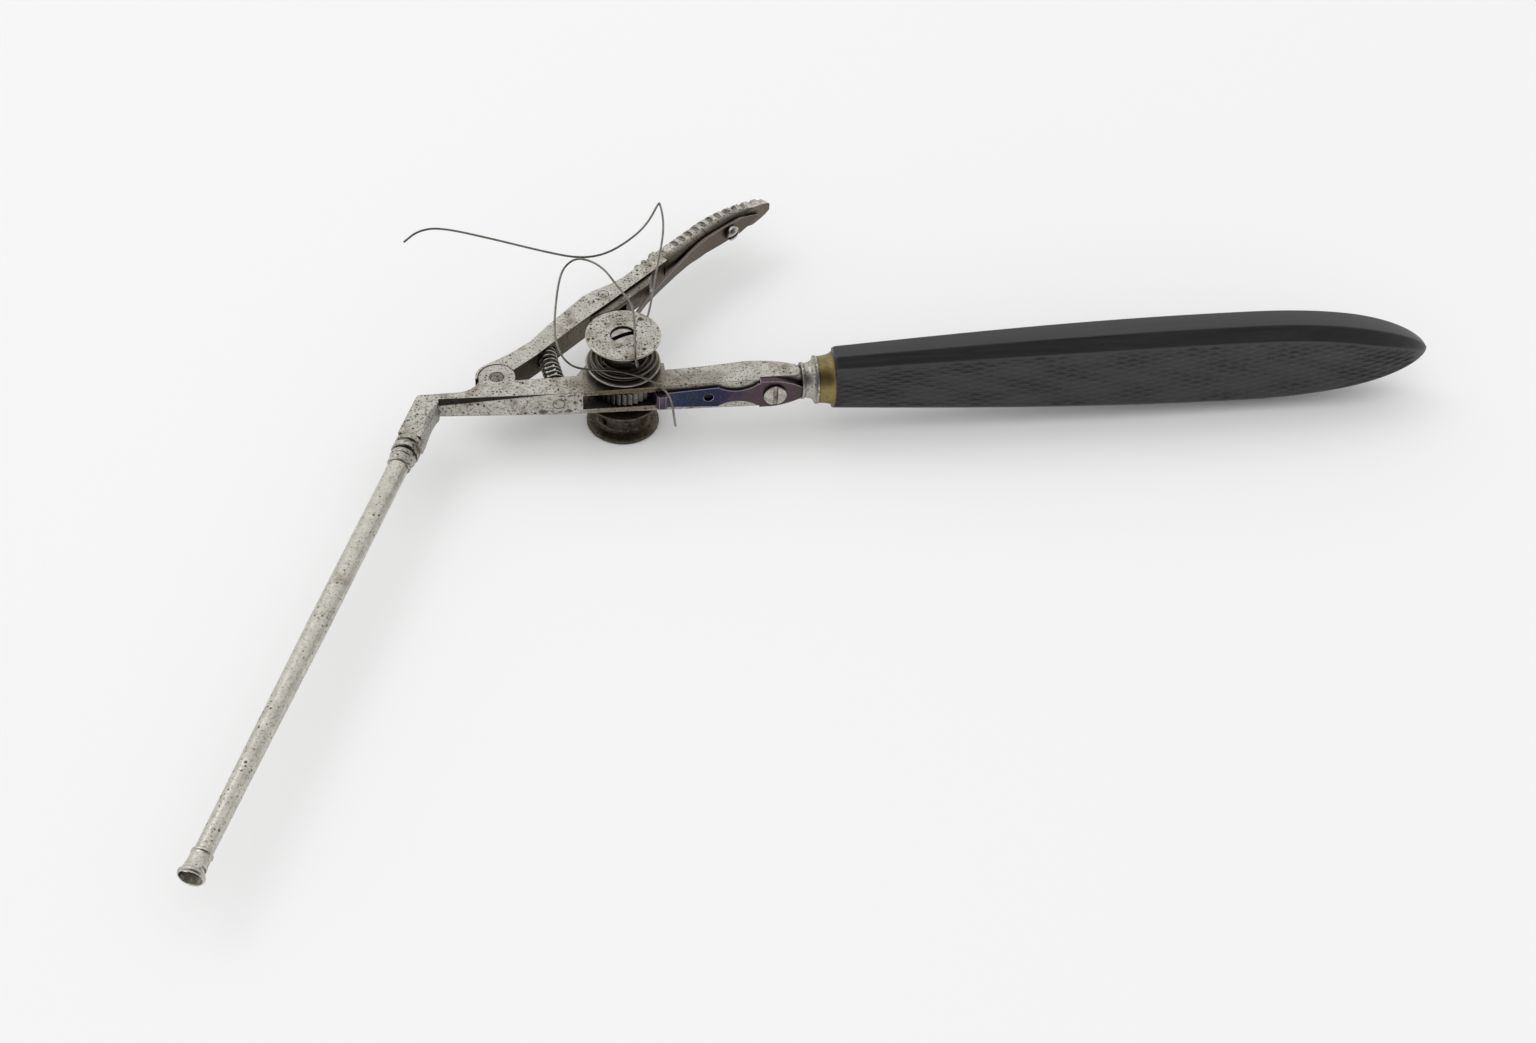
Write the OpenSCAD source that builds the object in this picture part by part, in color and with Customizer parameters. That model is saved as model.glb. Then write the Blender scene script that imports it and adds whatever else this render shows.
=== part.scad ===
// Nasal snare: a slotted bar with a ratchet-wound wire reel, worked by a thumb lever.
// The origin is the middle of the lower reel's outer face, where the instrument stands.
// X runs along the bar to the handle, Y from the bar to the lever and Z along the reel axle.

/* [Bar] */
// Distance from the reel axle to the corner of the elbow
elbow_x = 34.6; // [33:0.2:40]
// Distance from the reel axle forward to the middle line of the bar
bar_set = 3.7; // [3.6:0.05:3.9]
// Depth of the bar from front to back
bar_deep = 4.4; // [4.2:0.1:4.6]
// Height of the bar at the elbow
bar_low_h = 4.1; // [3.9:0.1:4.6]
// Height of the bar where it swells before the handle
bar_root_h = 6.2; // [6:0.1:7]
// Distance from the reel axle to the end of the bar's round neck
neck_x = 31.9; // [31:0.1:36]
// Width across the round neck
neck_d = 6.1; // [5.8:0.1:6.4]
// Height of the wheel slot through the bar
slot_h = 3.2; // [3.1:0.05:3.4]
// Length of the stop chamfers on the front edges of the bar
chamfer_l = 21.2; // [12:0.2:23]

/* [Elbow and tube] */
// Lean of the tube away from square to the bar, in degrees
elbow_lean = 21; // [10:1:30]
// Length of the square elbow arm, from the corner
arm_l = 10.7; // [10:0.1:14]
// Width of the square elbow arm
arm_w = 4.2; // [4:0.1:4.6]
// Length of the tube and its tip, from the corner
tube_l = 105.6; // [85:0.5:130]
// Outer width of the tube
tube_d = 3.6; // [3.4:0.1:3.8]
// Outer width of the tube at its tip
tube_end_d = 2.9; // [2.8:0.05:3.1]
// Bore of the tube
tube_bore = 2.2; // [1.8:0.1:2.3]
// Length of the flared tip
tip_l = 4.6; // [4:0.1:6]
// Width of the tip's oval mouth
mouth_w = 3.7; // [3.4:0.05:3.8]

/* [Handle] */
// Length of the handle
handle_l = 114.1; // [90:0.5:130]
// Height of the handle at its widest place
handle_h = 18.3; // [16:0.1:19]
// Height of the handle at its root
handle_root_h = 12.2; // [11:0.1:14]
// Thickness of the handle at its widest place
handle_deep = 8.5; // [8:0.1:10]
// Thickness of the handle at its root
handle_root_deep = 6.2; // [6:0.1:8]
// Width across the sharp rim of the bolster
rim_d = 8.84; // [8.4:0.02:9.4]
// Length of the brass collar
collar_l = 2.9; // [2:0.1:4]
// Length of the tang inside the handle
tang_l = 60; // [40:1:80]

/* [Reel and ratchet] */
// Width across the outer reel flanges
reel_d = 13.5; // [13:0.1:14]
// Hub width of the upper reel
upper_hub_d = 7; // [6.6:0.1:7.4]
// Hub width of the lower reel
lower_hub_d = 8.9; // [8.4:0.1:9.2]
// Height of each reel's outer face from the middle of the bar
stand_h = 10.4; // [10.2:0.1:11.5]
// Number of ratchet teeth
teeth = 36; // [18:18:36]
// Width across the ratchet teeth
wheel_d = 12.1; // [12:0.02:12.2]
// Depth of a ratchet tooth
tooth_h = 0.55; // [0.45:0.05:0.6]
// Thickness of the ratchet wheel
wheel_t = 2.5; // [2:0.1:2.6]
// Width across the round journals of the axle
axle_d = 3.2; // [3:0.1:3.4]

/* [Lever and pawl] */
// Angle between the bar and the lever at rest, in degrees
lever_open = 42.6; // [42:0.2:43.4]
// Thickness of the lever
lever_t = 4.6; // [4.4:0.1:4.8]
// Distance of the hinge pin from the reel axle along the bar
ear_x = 22.64; // [22.5:0.02:22.8]
// Width across the hinge ear
ear_d = 6.6; // [6.4:0.1:6.8]
// Width across the hinge pin
hinge_d = 2.6; // [2.2:0.1:2.8]
// Distance from the hinge pin to the beads at the start of the thumb pad
pad_u = 45; // [44.6:0.05:45.4]
// Width across the thumb pad
pad_d = 4.7; // [4.5:0.05:4.9]
// Distance of the pad's far end from the hinge, along its middle
pad_reach = 74.9; // [74:0.1:80]
// Distance between the grip cuts of the thumb pad
grip_step = 2.03; // [1.95:0.01:2.08]
// Distance of the pawl pin from the hinge pin, along the lever
pawl_u = 30; // [29.8:0.05:30.2]
// Length of the pawl from its pin to its nose
pawl_l = 17.2; // [17:0.05:17.4]
// Thickness of the pawl
pawl_t = 1.6; // [1.4:0.1:1.7]
// Width across the pawl pin
pawl_pin_d = 2.1; // [1.8:0.1:2.3]

/* [Springs and screws] */
// Thickness of the flat springs
leaf_t = 0.5; // [0.4:0.02:0.5]
// Greatest width of the leaf spring under the pad
leaf_w = 3.8; // [3.4:0.05:4]
// Outer width of the coil spring
coil_d = 3.6; // [3.4:0.05:3.6]
// Wire width of the coil spring
coil_wire_d = 0.4; // [0.35:0.01:0.4]
// Number of turns of the coil spring
coil_turns = 11; // [8:1:11]
// Distance of the coil spring's post from the reel axle
post_x = 12; // [11.8:0.05:12.2]
// Width across the spring post where it passes the bar
post_d = 2.2; // [2:0.1:2.4]
// Head width of the large screws
screw_d = 4.2; // [4:0.1:4.4]
// Head width of the lever spring's screw
small_screw_d = 3; // [2.8:0.1:3.2]

/* [Snare wire] */
// Width of the snare wire
wire_d = 0.4; // [0.35:0.01:0.4]
// Turns of wire in each layer on the upper reel
wire_turns_n = 2.25; // [1.25:1:2.25]

/* [Fits] */
// Clearance on the radius of a turning pin
turn_fit = 0.04; // [0.03:0.01:0.06]
// Clearance on the radius of a fixed pin or screw
seat_fit = 0.01; // [0.01:0.01:0.02]
// Clearance of flat faces that slide past each other
side_gap = 0.1; // [0.08:0.01:0.12]

/* [Hidden] */
$fn = 64;

front_y = -bar_set - bar_deep / 2;
back_y = -bar_set + bar_deep / 2;
arm_dir = -90 - elbow_lean;
corner = [-elbow_x, -bar_set];
swell_x = 22;
chamfer_tilt = 2.4;
butt_x = neck_x - 7.8;
butt_floor_y = front_y + 0.7;
elbow_back_y = -bar_set + 0.05;
ear = [-ear_x, back_y + 1.23];
ear_r = ear_d / 2;
fillet_r = 4;
fillet_x = ear[0] - 6.96;
boss_h = 2.85;
boss_r = 3.4;
axle_r = axle_d / 2;
axle_sq = axle_r * sqrt(2) - 0.03;
wheel_r = wheel_d / 2;
slot_x = [-wheel_r - 1.65, wheel_r + 1.15];
tongue_t = 1.9;
fork_r = ear_r + 0.2;
neck_r = neck_d / 2;
rim_r = rim_d / 2;
bolster_l = 2.9;
bolster_rise = [0, 0.1, 0.3];
bolster_x = neck_x + bolster_l;
tang_r = 1.5;
handle_x = bolster_x + collar_l;
tube_start = 6.1;
ring_end = arm_l + 3.1;
tube_face = ring_end + 0.3;
tube_collar_l = 2.9;
spigot_r = tube_d / 2 - 0.4;
bore_r = tube_bore / 2;
tube_stop = tube_l - 1.8;
tip_start = tube_l - tip_l;
mouth_h = tube_end_d + 0.1;
screw_shank_r = 0.9;
reel_shank_r = 0.6;
small_shank_r = 0.8;
small_shank_l = 2.4;

// Points on an arc round c, from angle a to angle b in n steps
function arc(c, r, a, b, n) =
    [for (i = [0:n]) c + r * [cos(a + (b - a) * i / n), sin(a + (b - a) * i / n)]];
// Points on an oval round c with half widths rx and ry, from angle a to angle b in n steps
function oval(c, rx, ry, a, b, n) =
    [for (i = [0:n]) c + [rx * cos(a + (b - a) * i / n), ry * sin(a + (b - a) * i / n)]];
function polar(r, a) = r * [cos(a), sin(a)];
function unit(v) = v / norm(v);
function turn(a, p) = [p[0] * cos(a) - p[1] * sin(a), p[0] * sin(a) + p[1] * cos(a)];
function ramp(x) = max(0, min(1, x));
// Half height of the bar at x
function half_h(x) = (bar_low_h + (bar_root_h - bar_low_h) * ramp((x + elbow_x) / (swell_x + elbow_x))) / 2;
// A hollow curve that flares from r0 to r1 between z0 and z1
function cove(r0, r1, z0, z1, n) =
    [for (i = [0:n]) [r0 + (r1 - r0) * (1 - cos(90 * i / n)), z0 + (z1 - z0) * sin(90 * i / n)]];

module lift() translate([0, 0, stand_h]) children();
// An outline in the plan, h thick, centred on the middle of the bar
module slab(h) translate([0, 0, -h / 2]) linear_extrude(height = h) children();
// An outline seen from the front, from y0 back to y1
module upright(y0, y1) translate([0, y1, 0]) rotate([90, 0, 0]) linear_extrude(height = y1 - y0) children();
// Local z runs down the tube from the corner of the elbow
module on_arm() translate([corner[0], corner[1], 0]) rotate([0, 0, arm_dir]) rotate([0, 90, 0]) children();
// Local z runs along the bar to the handle from x
module on_bar(x) translate([x, -bar_set, 0]) rotate([0, 90, 0]) children();
// Local x runs along the lever from the hinge pin, local y to its back
module on_lever() translate([ear[0], ear[1], 0]) rotate([0, 0, lever_open]) children();
// Local x runs along the pawl from its pin
module on_pawl() on_lever() translate([pawl_u, pawl_w, 0]) rotate([0, 0, pawl_angle]) children();
// Local z points out of the bar's front at x, from depth y
module on_front(x, y) translate([x, y, 0]) rotate([90, 0, 0]) children();

// A domed screw with a slot: its head seats at z = 0 and its shank points down
module screw(head_r, head_h, shank_r, shank_l, slot_w, slot_a) {
    dome = head_h * 0.4;
    ball_r = (head_r * head_r + dome * dome) / (2 * dome);
    difference() {
        intersection() {
            cylinder(r = head_r, h = head_h);
            translate([0, 0, head_h - ball_r]) sphere(r = ball_r, $fn = 128);
        }
        rotate([0, 0, slot_a]) translate([-head_r - 1, -slot_w / 2, head_h * 0.45])
            cube([2 * head_r + 2, slot_w, head_h]);
    }
    translate([0, 0, -shank_l]) cylinder(r = shank_r, h = shank_l + 0.01);
}

// Frame: bar, slotted lug, hinge ear, elbow, bolster and tang in one forging
arm_h = arm_w / 2;
arm_vec = [cos(arm_dir), sin(arm_dir)];
arm_nrm = [-sin(arm_dir), cos(arm_dir)];
arm_in = corner + arm_h * arm_nrm;
arm_out = corner - arm_h * arm_nrm;
function on_line(p, y) = p + arm_vec * (y - p[1]) / arm_vec[1];
heel = on_line(arm_out, elbow_back_y);
lug_r = axle_r + 1.6;
swell_y = -bar_set + neck_r + 0.1;
swell_r = neck_r + 1.3;
frame_outline = concat(
    [on_line(arm_in, front_y), arm_in + arm_l * arm_vec, arm_out + arm_l * arm_vec],
    [heel + 0.5 * arm_vec, heel + 0.15 * arm_vec + [0.15, 0], heel + [0.5, 0]],
    arc([fillet_x, elbow_back_y + fillet_r], fillet_r, -90, -12, 8),
    [[ear[0], ear[1]], [ear[0] + ear_r, back_y], [-lug_r - 5.4, back_y], [-lug_r - 3.2, 1.6]],
    arc([0, 0], lug_r, 118, 52, 10),
    [[lug_r + 4.2, 0.3], [lug_r + 4.2, back_y], [swell_x - 10, back_y + 0.12], [swell_x - 6, back_y + 0.36]],
    [[swell_x - 2.7, back_y + 0.62], [swell_x, swell_y - 0.1], [swell_x + 2, swell_y], [neck_x, swell_y]],
    [[neck_x, butt_floor_y], [butt_x, butt_floor_y], [butt_x, front_y]]);
side_outline = [[-elbow_x - 20, -half_h(-elbow_x)], [-elbow_x, -half_h(-elbow_x)],
    [swell_x, -half_h(swell_x)], [neck_x, -half_h(neck_x)], [neck_x, half_h(neck_x)],
    [swell_x, half_h(swell_x)], [-elbow_x, half_h(-elbow_x)], [-elbow_x - 20, half_h(-elbow_x)]];

// The round of the swelling, about the bar's middle line; its radius at x also shapes the spring's butt
function round_r(x) = swell_r - (swell_r - neck_r) * pow(ramp((x - swell_x) / (neck_x - swell_x)), 2.3);
module neck_round() on_bar(0) rotate_extrude($fn = 128)
    polygon(concat([[0, -elbow_x - 25], [30, -elbow_x - 25], [30, swell_x - 2]],
        [for (t = [0:0.1:1]) let (x = swell_x + t * (neck_x - swell_x)) [round_r(x), x]], [[0, neck_x]]));

// It stands a hair high on the bar's middle line, toward the handle's own
module bolster() translate(bolster_rise) on_bar(neck_x) rotate_extrude()
    polygon(concat([[0, 0], [neck_r + 0.25, 0], [neck_r + 0.35, 0.25], [neck_r + 0.25, 0.5]],
        cove(neck_r + 0.1, rim_r, 0.55, bolster_l - 0.4, 8), [[rim_r, bolster_l], [0, bolster_l]]));

// A flat bevel on the front edge, widest at the elbow and run out to nothing along the bar
chamfer_end = on_line(arm_in, front_y)[0];
chamfer_out = chamfer_end + chamfer_l;
module stop_chamfer() translate([chamfer_out, front_y, half_h(chamfer_out)]) rotate([45, 0, 0])
    rotate([0, -chamfer_tilt, 0]) translate([-chamfer_l, -4, 0]) cube([chamfer_l, 8, 3]);

// A lens-shaped bevel, cut on an edge that runs along x, by the tip of a round of radius r sunk to
// depth: the cutter ends just past the edge, so that it leaves the faces beside it whole
module lens_cut(r, depth) rotate([-45, 0, 0]) intersection() {
    translate([0, 0, r - depth]) rotate([90, 0, 0])
        cylinder(r = r, h = 2.5 * depth, center = true, $fn = 128);
    translate([-r, -2 * depth, -2 * depth]) cube([2 * r, 4 * depth, 2 * depth + 0.05]);
}

module frame() color("lightsteelblue") lift() difference() {
    union() {
        intersection() {
            slab(4 * bar_root_h) {
                polygon(frame_outline);
                translate(ear) circle(r = ear_r);
            }
            upright(-30, 20) polygon(side_outline);
            neck_round();
        }
        cylinder(r = boss_r, h = 2 * boss_h, center = true);
        bolster();
        on_bar(bolster_x - 0.01) cylinder(r = tang_r, h = tang_l + 0.01);
        on_arm() rotate_extrude() polygon([[0, arm_l - 1], [2.3, arm_l - 1], [2.3, arm_l],
            [2.5, arm_l + 0.2], [2.5, arm_l + 1.1], [2.2, arm_l + 1.35], [2.2, arm_l + 1.65],
            [2.5, arm_l + 1.9], [2.5, ring_end - 0.2], [2.3, ring_end], [2, ring_end], [2, tube_face],
            [0, tube_face]]);
    }
    translate([slot_x[0], -20, -slot_h / 2]) cube([slot_x[1] - slot_x[0], 40, slot_h]);
    cylinder(r = axle_r + turn_fit, h = 4 * boss_h, center = true);
    translate([ear[0], ear[1], 0]) cylinder(r = fork_r, h = tongue_t + 2 * side_gap, center = true);
    translate([ear[0], ear[1], 0]) cylinder(r = hinge_d / 2 + seat_fit, h = 20, center = true);
    on_front(-post_x, front_y - 1) mirror([0, 0, 1]) cylinder(r = post_d / 2 + seat_fit, h = bar_deep + 2);
    on_front(hold_screw_x, butt_floor_y) mirror([0, 0, 1]) translate([0, 0, -0.5])
        cylinder(r = screw_shank_r + seat_fit, h = hold_screw_l + 0.5);
    on_arm() translate([0, 0, -8]) cylinder(r = bore_r, h = 16);
    on_arm() translate([0, 0, tube_start]) cylinder(r = spigot_r + seat_fit, h = tube_l);
    for (s = [0, 1]) mirror([0, 0, s]) stop_chamfer();
    translate([corner[0], corner[1], 0]) rotate([0, 0, arm_dir]) for (s = [0, 1]) mirror([0, 0, s])
        translate([5.6, arm_h, half_h(-elbow_x)]) lens_cut(12, 0.55);
}

module brass_collar() color("darkkhaki") lift() difference() {
    translate(bolster_rise) on_bar(bolster_x) rotate_extrude() polygon(concat([[0, 0], [rim_r - 0.15, 0]],
        cove(rim_r - 0.15, rim_r + 0.6, 0, collar_l, 6), [[0, collar_l]]));
    on_bar(bolster_x - 1) cylinder(r = tang_r + seat_fit, h = collar_l + 2);
}

// Handle: an eight-sided leaf, lofted through its cross-sections
handle_rings = 24;
handle_full_at = 0.68;
function closure(t, from, p, q) = t <= from ? 1 : pow(max(0, 1 - pow((t - from) / (1 - from), p)), q);
function root_round(t) = 1 - 0.03 * pow(1 - ramp(t / 0.004), 2);
function tall(t) = max(0.5, root_round(t) * closure(t, handle_full_at, 2.3, 0.66)
    * (handle_root_h + (handle_h - handle_root_h) * sin(90 * ramp(t / handle_full_at))) / 2);
function thick(t) = max(0.4, root_round(t) * closure(t, 0.85, 2, 0.5)
    * (handle_root_deep + (handle_deep - handle_root_deep) * sin(90 * ramp(t / 0.6))) / 2);
function bevel(t) = min(0.5 * thick(t), 0.6 * tall(t));
function half_ring(h, d, b) = [[d, h - b], [d - b, h], [b - d, h], [-d, h - b]];
function handle_ring(t) = let (x = handle_x + handle_l * t, z = 0.75 * (1 - t / 0.77),
    half = half_ring(tall(t), thick(t), bevel(t)))
    [for (p = concat(half, -half)) [x, p[0] - bar_set, z + p[1]]];
handle_points = [for (i = [0:handle_rings - 1]) each handle_ring(
    i < 2 ? i * 0.004 : 1 - pow(1 - (i - 1) / (handle_rings - 2), 1.6) * 0.97)];

// Faces of a skin over m rings of k points, closed by a fan at each end
function skin(m, k) = concat(
    [for (i = [0:m - 2], j = [0:k - 1]) [i * k + j, i * k + (j + 1) % k, (i + 1) * k + (j + 1) % k]],
    [for (i = [0:m - 2], j = [0:k - 1]) [i * k + j, (i + 1) * k + (j + 1) % k, (i + 1) * k + j]],
    [for (j = [1:k - 2]) [0, j + 1, j]],
    [for (j = [1:k - 2]) [(m - 1) * k, (m - 1) * k + j, (m - 1) * k + j + 1]]);

module handle() color("#2f2e2f") lift() difference() {
    polyhedron(points = handle_points, faces = skin(handle_rings, 8), convexity = 4);
    on_bar(bolster_x) cylinder(r = tang_r + seat_fit, h = tang_l + 0.3);
}

module tube() color("silver") lift() on_arm() rotate_extrude()
    polygon([[bore_r, tube_start], [spigot_r, tube_start], [spigot_r, tube_face], [tube_d / 2, tube_face],
        [tube_d / 2, tube_l / 2], [tube_end_d / 2, tip_start - 0.5], [tube_end_d / 2, tube_stop],
        [bore_r, tube_stop]]);

module tube_tip() color("silver") lift() on_arm() difference() {
    rotate_extrude() polygon(concat([[0, tip_start], [tube_end_d / 2 + 0.15, tip_start]],
        [[tube_end_d / 2 + 0.3, tip_start + 0.15], [tube_end_d / 2 + 0.3, tip_start + 0.45]],
        cove(tube_end_d / 2 + 0.15, mouth_w / 2 + 0.3, tip_start + 0.6, tube_l - 0.6, 6),
        [[mouth_w / 2 + 0.3, tube_l - 0.3], [mouth_w / 2 + 0.12, tube_l], [0, tube_l]]));
    translate([0, 0, tip_start - 1]) cylinder(r = tube_end_d / 2 + seat_fit, h = tube_stop - tip_start + 1);
    translate([0, 0, tube_stop]) linear_extrude(height = tube_l) {
        for (s = [-1, 1]) translate([0, s * (mouth_w - mouth_h) / 2]) circle(r = mouth_h / 2);
        square([mouth_h, mouth_w - mouth_h], center = true);
    }
}

module tube_collar() color("darkgray") lift() on_arm() difference() {
    rotate_extrude() polygon([[0, tube_face], [tube_d / 2 + 0.4, tube_face],
        [tube_d / 2 + 0.5, tube_face + 0.2], [tube_d / 2 + 0.5, tube_face + 0.9],
        [tube_d / 2 + 0.3, tube_face + 1.1], [tube_d / 2 + 0.3, tube_face + tube_collar_l - 0.4],
        [tube_d / 2 + 0.1, tube_face + tube_collar_l], [0, tube_face + tube_collar_l]]);
    translate([0, 0, tube_face - 1]) cylinder(r = tube_d / 2 + seat_fit, h = tube_collar_l + 2);
}

module hinge_pin() color("gray") lift() translate([ear[0], ear[1], 0])
    cylinder(r = hinge_d / 2, h = 2 * half_h(ear[0]), center = true);

// Lever: a forked shoulder, a slotted belly for the pawl, three beads and a bent thumb pad
pawl_w = 1.6;
pawl_angle = -112.2;
shoulder_r = ear_r + 0.55;
pad_r = pad_d / 2;
pad_w = pad_r - 0.75;
lever_s = pad_u / 45;
bend_u = pad_u + 13;
bend_r = 31;
bend_lap = 0.7;
bend_a = (pad_reach - bend_u) / bend_r * 180 / PI;
seat_w = pad_w - pad_r;
pad_leaf_u = bend_u + 8;
pad_round_u = bend_u + 6;
pad_tip_u = bend_u + bend_r * sin(bend_a) + 0.8;
spring_screw_u = pad_reach - 11.9;
spring_u = [min(bend_u - 2.6, spring_screw_u - 4), pad_reach - 4.3];
seat_tilt = 4.7;
grips = 12;
grip_r = 0.65;
coil_r = (coil_d - coil_wire_d) / 2;
coil_seat = lever_s * [12.7, 0.2];
coil_from = [-post_x, back_y];
coil_to = ear + turn(lever_open, coil_seat);
coil_dir = unit(coil_to - coil_from);
coil_l = norm(coil_to - coil_from);
pawl_slot_t = pawl_t + 0.3;
lever_outline = concat(
    lever_s * [[3.4, -0.9], [9, -1.1], [14, -0.9], [22, -0.7], [30, -0.75], [44, -0.5]],
    [[pad_u + 0.8, seat_w + 0.3], [pad_u + 0.8, pad_w + pad_r - 0.6]],
    lever_s * [[44, 2.5], [36, 2.25], [33, 2.7], [29.2, 3.7], [27, 4]],
    lever_s * [[17.5, 3.15], [11, 2.3], [6, 2.7], [3.2, 3.25]],
    arc([0, 0], shoulder_r, 75, 140, 6), [[0, 0]]);
belly_outline = lever_s * [[24, -0.8], [26, -1.7], [28, -2.4], [38.5, -2.4], [41.5, -0.4], [30, 0]];

// The flat under the pad on which the leaf spring lies: a place at u, and a point d below it
module on_seat(u) translate([spring_u[0], seat_w, 0]) rotate([0, 0, -seat_tilt])
    translate([u - spring_u[0], 0, 0]) children();
function seat_point(u, d) = [spring_u[0], seat_w] + turn(-seat_tilt, [u - spring_u[0], -d]);

// The place on the pad's middle line at distance u from the hinge, local x along it
module on_pad(u) translate([bend_u, pad_w - bend_r, 0])
    rotate([0, 0, -max(0, u - bend_u) / bend_r * 180 / PI])
    translate([min(0, u - bend_u), bend_r, 0]) children();

// The bent end is a hair fuller than the straight and laps a little way over it
module pad_body() intersection() {
    slab(2 * pad_d) polygon(concat([[pad_u, -pad_d], [pad_tip_u, -pad_d]], oval([pad_round_u, seat_w - 1.85],
        pad_tip_u - pad_round_u, 5.6, 0, 90, 10), [[pad_round_u - 3, 2 * pad_d], [pad_u, 2 * pad_d]]));
    union() {
        translate([pad_u, pad_w, 0]) rotate([0, 90, 0]) cylinder(r = pad_r, h = bend_u - pad_u);
        translate([bend_u, pad_w - bend_r, 0]) rotate([0, 0, 90 - bend_a])
            rotate_extrude(angle = bend_a + bend_lap, $fn = 128) translate([bend_r, 0])
                circle(r = pad_r + 0.05, $fn = 64);
    }
    upright(-12, 8) polygon(concat([[pad_u, -pad_r]], oval([pad_leaf_u, 0], pad_tip_u - pad_leaf_u, pad_r,
        -90, 90, 16), [[pad_u, pad_r]]));
}

module lever() color("silver") lift() on_lever() difference() {
    union() {
        difference() {
            union() {
                slab(lever_t) polygon(lever_outline);
                slab(lever_t - 0.8) polygon(belly_outline);
            }
            for (s = [0, 1]) mirror([0, 0, s]) translate([0, 0, tongue_t / 2])
                cylinder(r = ear_r + 0.15, h = lever_t);
        }
        slab(tongue_t) {
            circle(r = ear_r - 0.2);
            intersection() {
                polygon(lever_outline);
                circle(r = ear_r + 0.4);
            }
        }
        for (b = lever_s * [[40.5, 0.7], [42.4, 0.7], [44.9, 1]]) translate([b[0], lever_s * 2.35, 0])
            cylinder(r = b[1], h = lever_t - 0.3, center = true);
        pad_body();
    }
    cylinder(r = hinge_d / 2 + turn_fit, h = 20, center = true);
    translate([pawl_u, pawl_w, 0]) cylinder(r = pawl_pin_d / 2 + seat_fit, h = 20, center = true);
    translate([pawl_u, pawl_w, 0]) cylinder(r = eye_r + 0.2, h = pawl_slot_t, center = true);
    translate([pawl_u - 4, -5, -pawl_slot_t / 2]) cube([6, 5 + pawl_w, pawl_slot_t]);
    on_seat(spring_u[0]) translate([0, -6, -5]) cube([25, 6, 10]);
    on_seat(spring_screw_u) rotate([-90, 0, 0]) translate([0, 0, -0.5])
        cylinder(r = small_shank_r + seat_fit, h = small_shank_l + 0.6);
    for (i = [0:grips - 1], a = [25, 75]) on_pad(pad_u + 5.5 + grip_step * i) rotate([a, 0, 0])
        translate([0, pad_r + 0.2, 0]) cylinder(r = grip_r, h = 6, center = true);
    rotate([0, 0, -lever_open]) translate([coil_to[0] - ear[0], coil_to[1] - ear[1], 0])
        rotate([0, 0, atan2(coil_dir[1], coil_dir[0])]) rotate([0, -90, 0])
        cylinder(r = coil_d / 2 + 0.2, h = 8);
}

// Driving pawl: a tapered arm from a round eye to a rounded nose
eye_r = pawl_pin_d / 2 + 0.5;
nose_r = 0.5;
pawl_half = 1;
module drive_pawl() color("gray") lift() on_pawl() difference() {
    slab(pawl_t) {
        circle(r = eye_r);
        polygon([[0, -eye_r], [3, -pawl_half], [9, -pawl_half], [14.5, -0.65], [pawl_l, -nose_r],
            [pawl_l, nose_r], [14.5, 0.75], [9, pawl_half], [3, pawl_half], [0, eye_r]]);
        translate([pawl_l, 0]) circle(r = nose_r);
    }
    cylinder(r = pawl_pin_d / 2 + turn_fit, h = 10, center = true);
}

module pawl_pin() color("gray") lift() on_lever() translate([pawl_u, pawl_w, 0])
    cylinder(r = pawl_pin_d / 2, h = lever_t, center = true);

// Points on both sides of a middle line p, t apart
function side_of(p, i) = let (a = p[max(0, i - 1)], b = p[min(len(p) - 1, i + 1)], d = unit(b - a))
    [-d[1], d[0]];
function ribbon(p, t) = concat([for (i = [0:len(p) - 1]) p[i] + side_of(p, i) * t / 2],
    [for (i = [len(p) - 1:-1:0]) p[i] - side_of(p, i) * t / 2]);
pawl_vec = [cos(pawl_angle), sin(pawl_angle)];
prong_tip = [pawl_u, pawl_w] + 8.1 * pawl_vec + (pawl_half + 0.22) * [-pawl_vec[1], pawl_vec[0]];
leaf_line = concat([seat_point(spring_u[1], leaf_t / 2), seat_point(spring_u[0] + 1, leaf_t / 2)],
    [[0.52 * (spring_u[0] + 1) + 0.48 * 46 * lever_s, -1.3]],
    lever_s * [[46, -2], [40, -3], [36, -3.8], [32, -4.95]], [prong_tip]);

// Its half width is greatest by the screw and falls to a waist over the lever's belly
leaf_waist = 44 * lever_s;
leaf_wide = spring_screw_u - 3;
leaf_half = leaf_w / 2;
leaf_edge = concat([[spring_u[1] + 0.1, 0.13 * leaf_half], [spring_u[1] - 2, 0.55 * leaf_half]],
    [[spring_u[1] - 4.8, 0.95 * leaf_half]],
    [for (p = [[1, 1], [0.656, 0.92], [0.375, 0.66], [0, 0.5]])
        [leaf_waist + p[0] * (leaf_wide - leaf_waist), p[1] * leaf_half]],
    [[34 * lever_s, 0.26 * leaf_half], [20 * lever_s, 0.24 * leaf_half]]);
module lever_spring() color("rosybrown") lift() on_lever() difference() {
    intersection() {
        slab(leaf_w + 0.2) polygon(ribbon(leaf_line, leaf_t));
        upright(-pawl_l, 4) polygon(concat(leaf_edge, [for (i = [len(leaf_edge) - 1:-1:0])
            [leaf_edge[i][0], -leaf_edge[i][1]]]));
    }
    on_seat(spring_screw_u) rotate([90, 0, 0]) cylinder(r = small_shank_r + 0.05, h = 6, center = true);
}

module lever_spring_screw() color("gray") lift() on_lever() on_seat(spring_screw_u)
    translate([0, -leaf_t, 0]) rotate([90, 0, 0])
        screw(small_screw_d / 2, 1.5, small_shank_r, leaf_t + small_shank_l, 0.5, 20);

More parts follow.
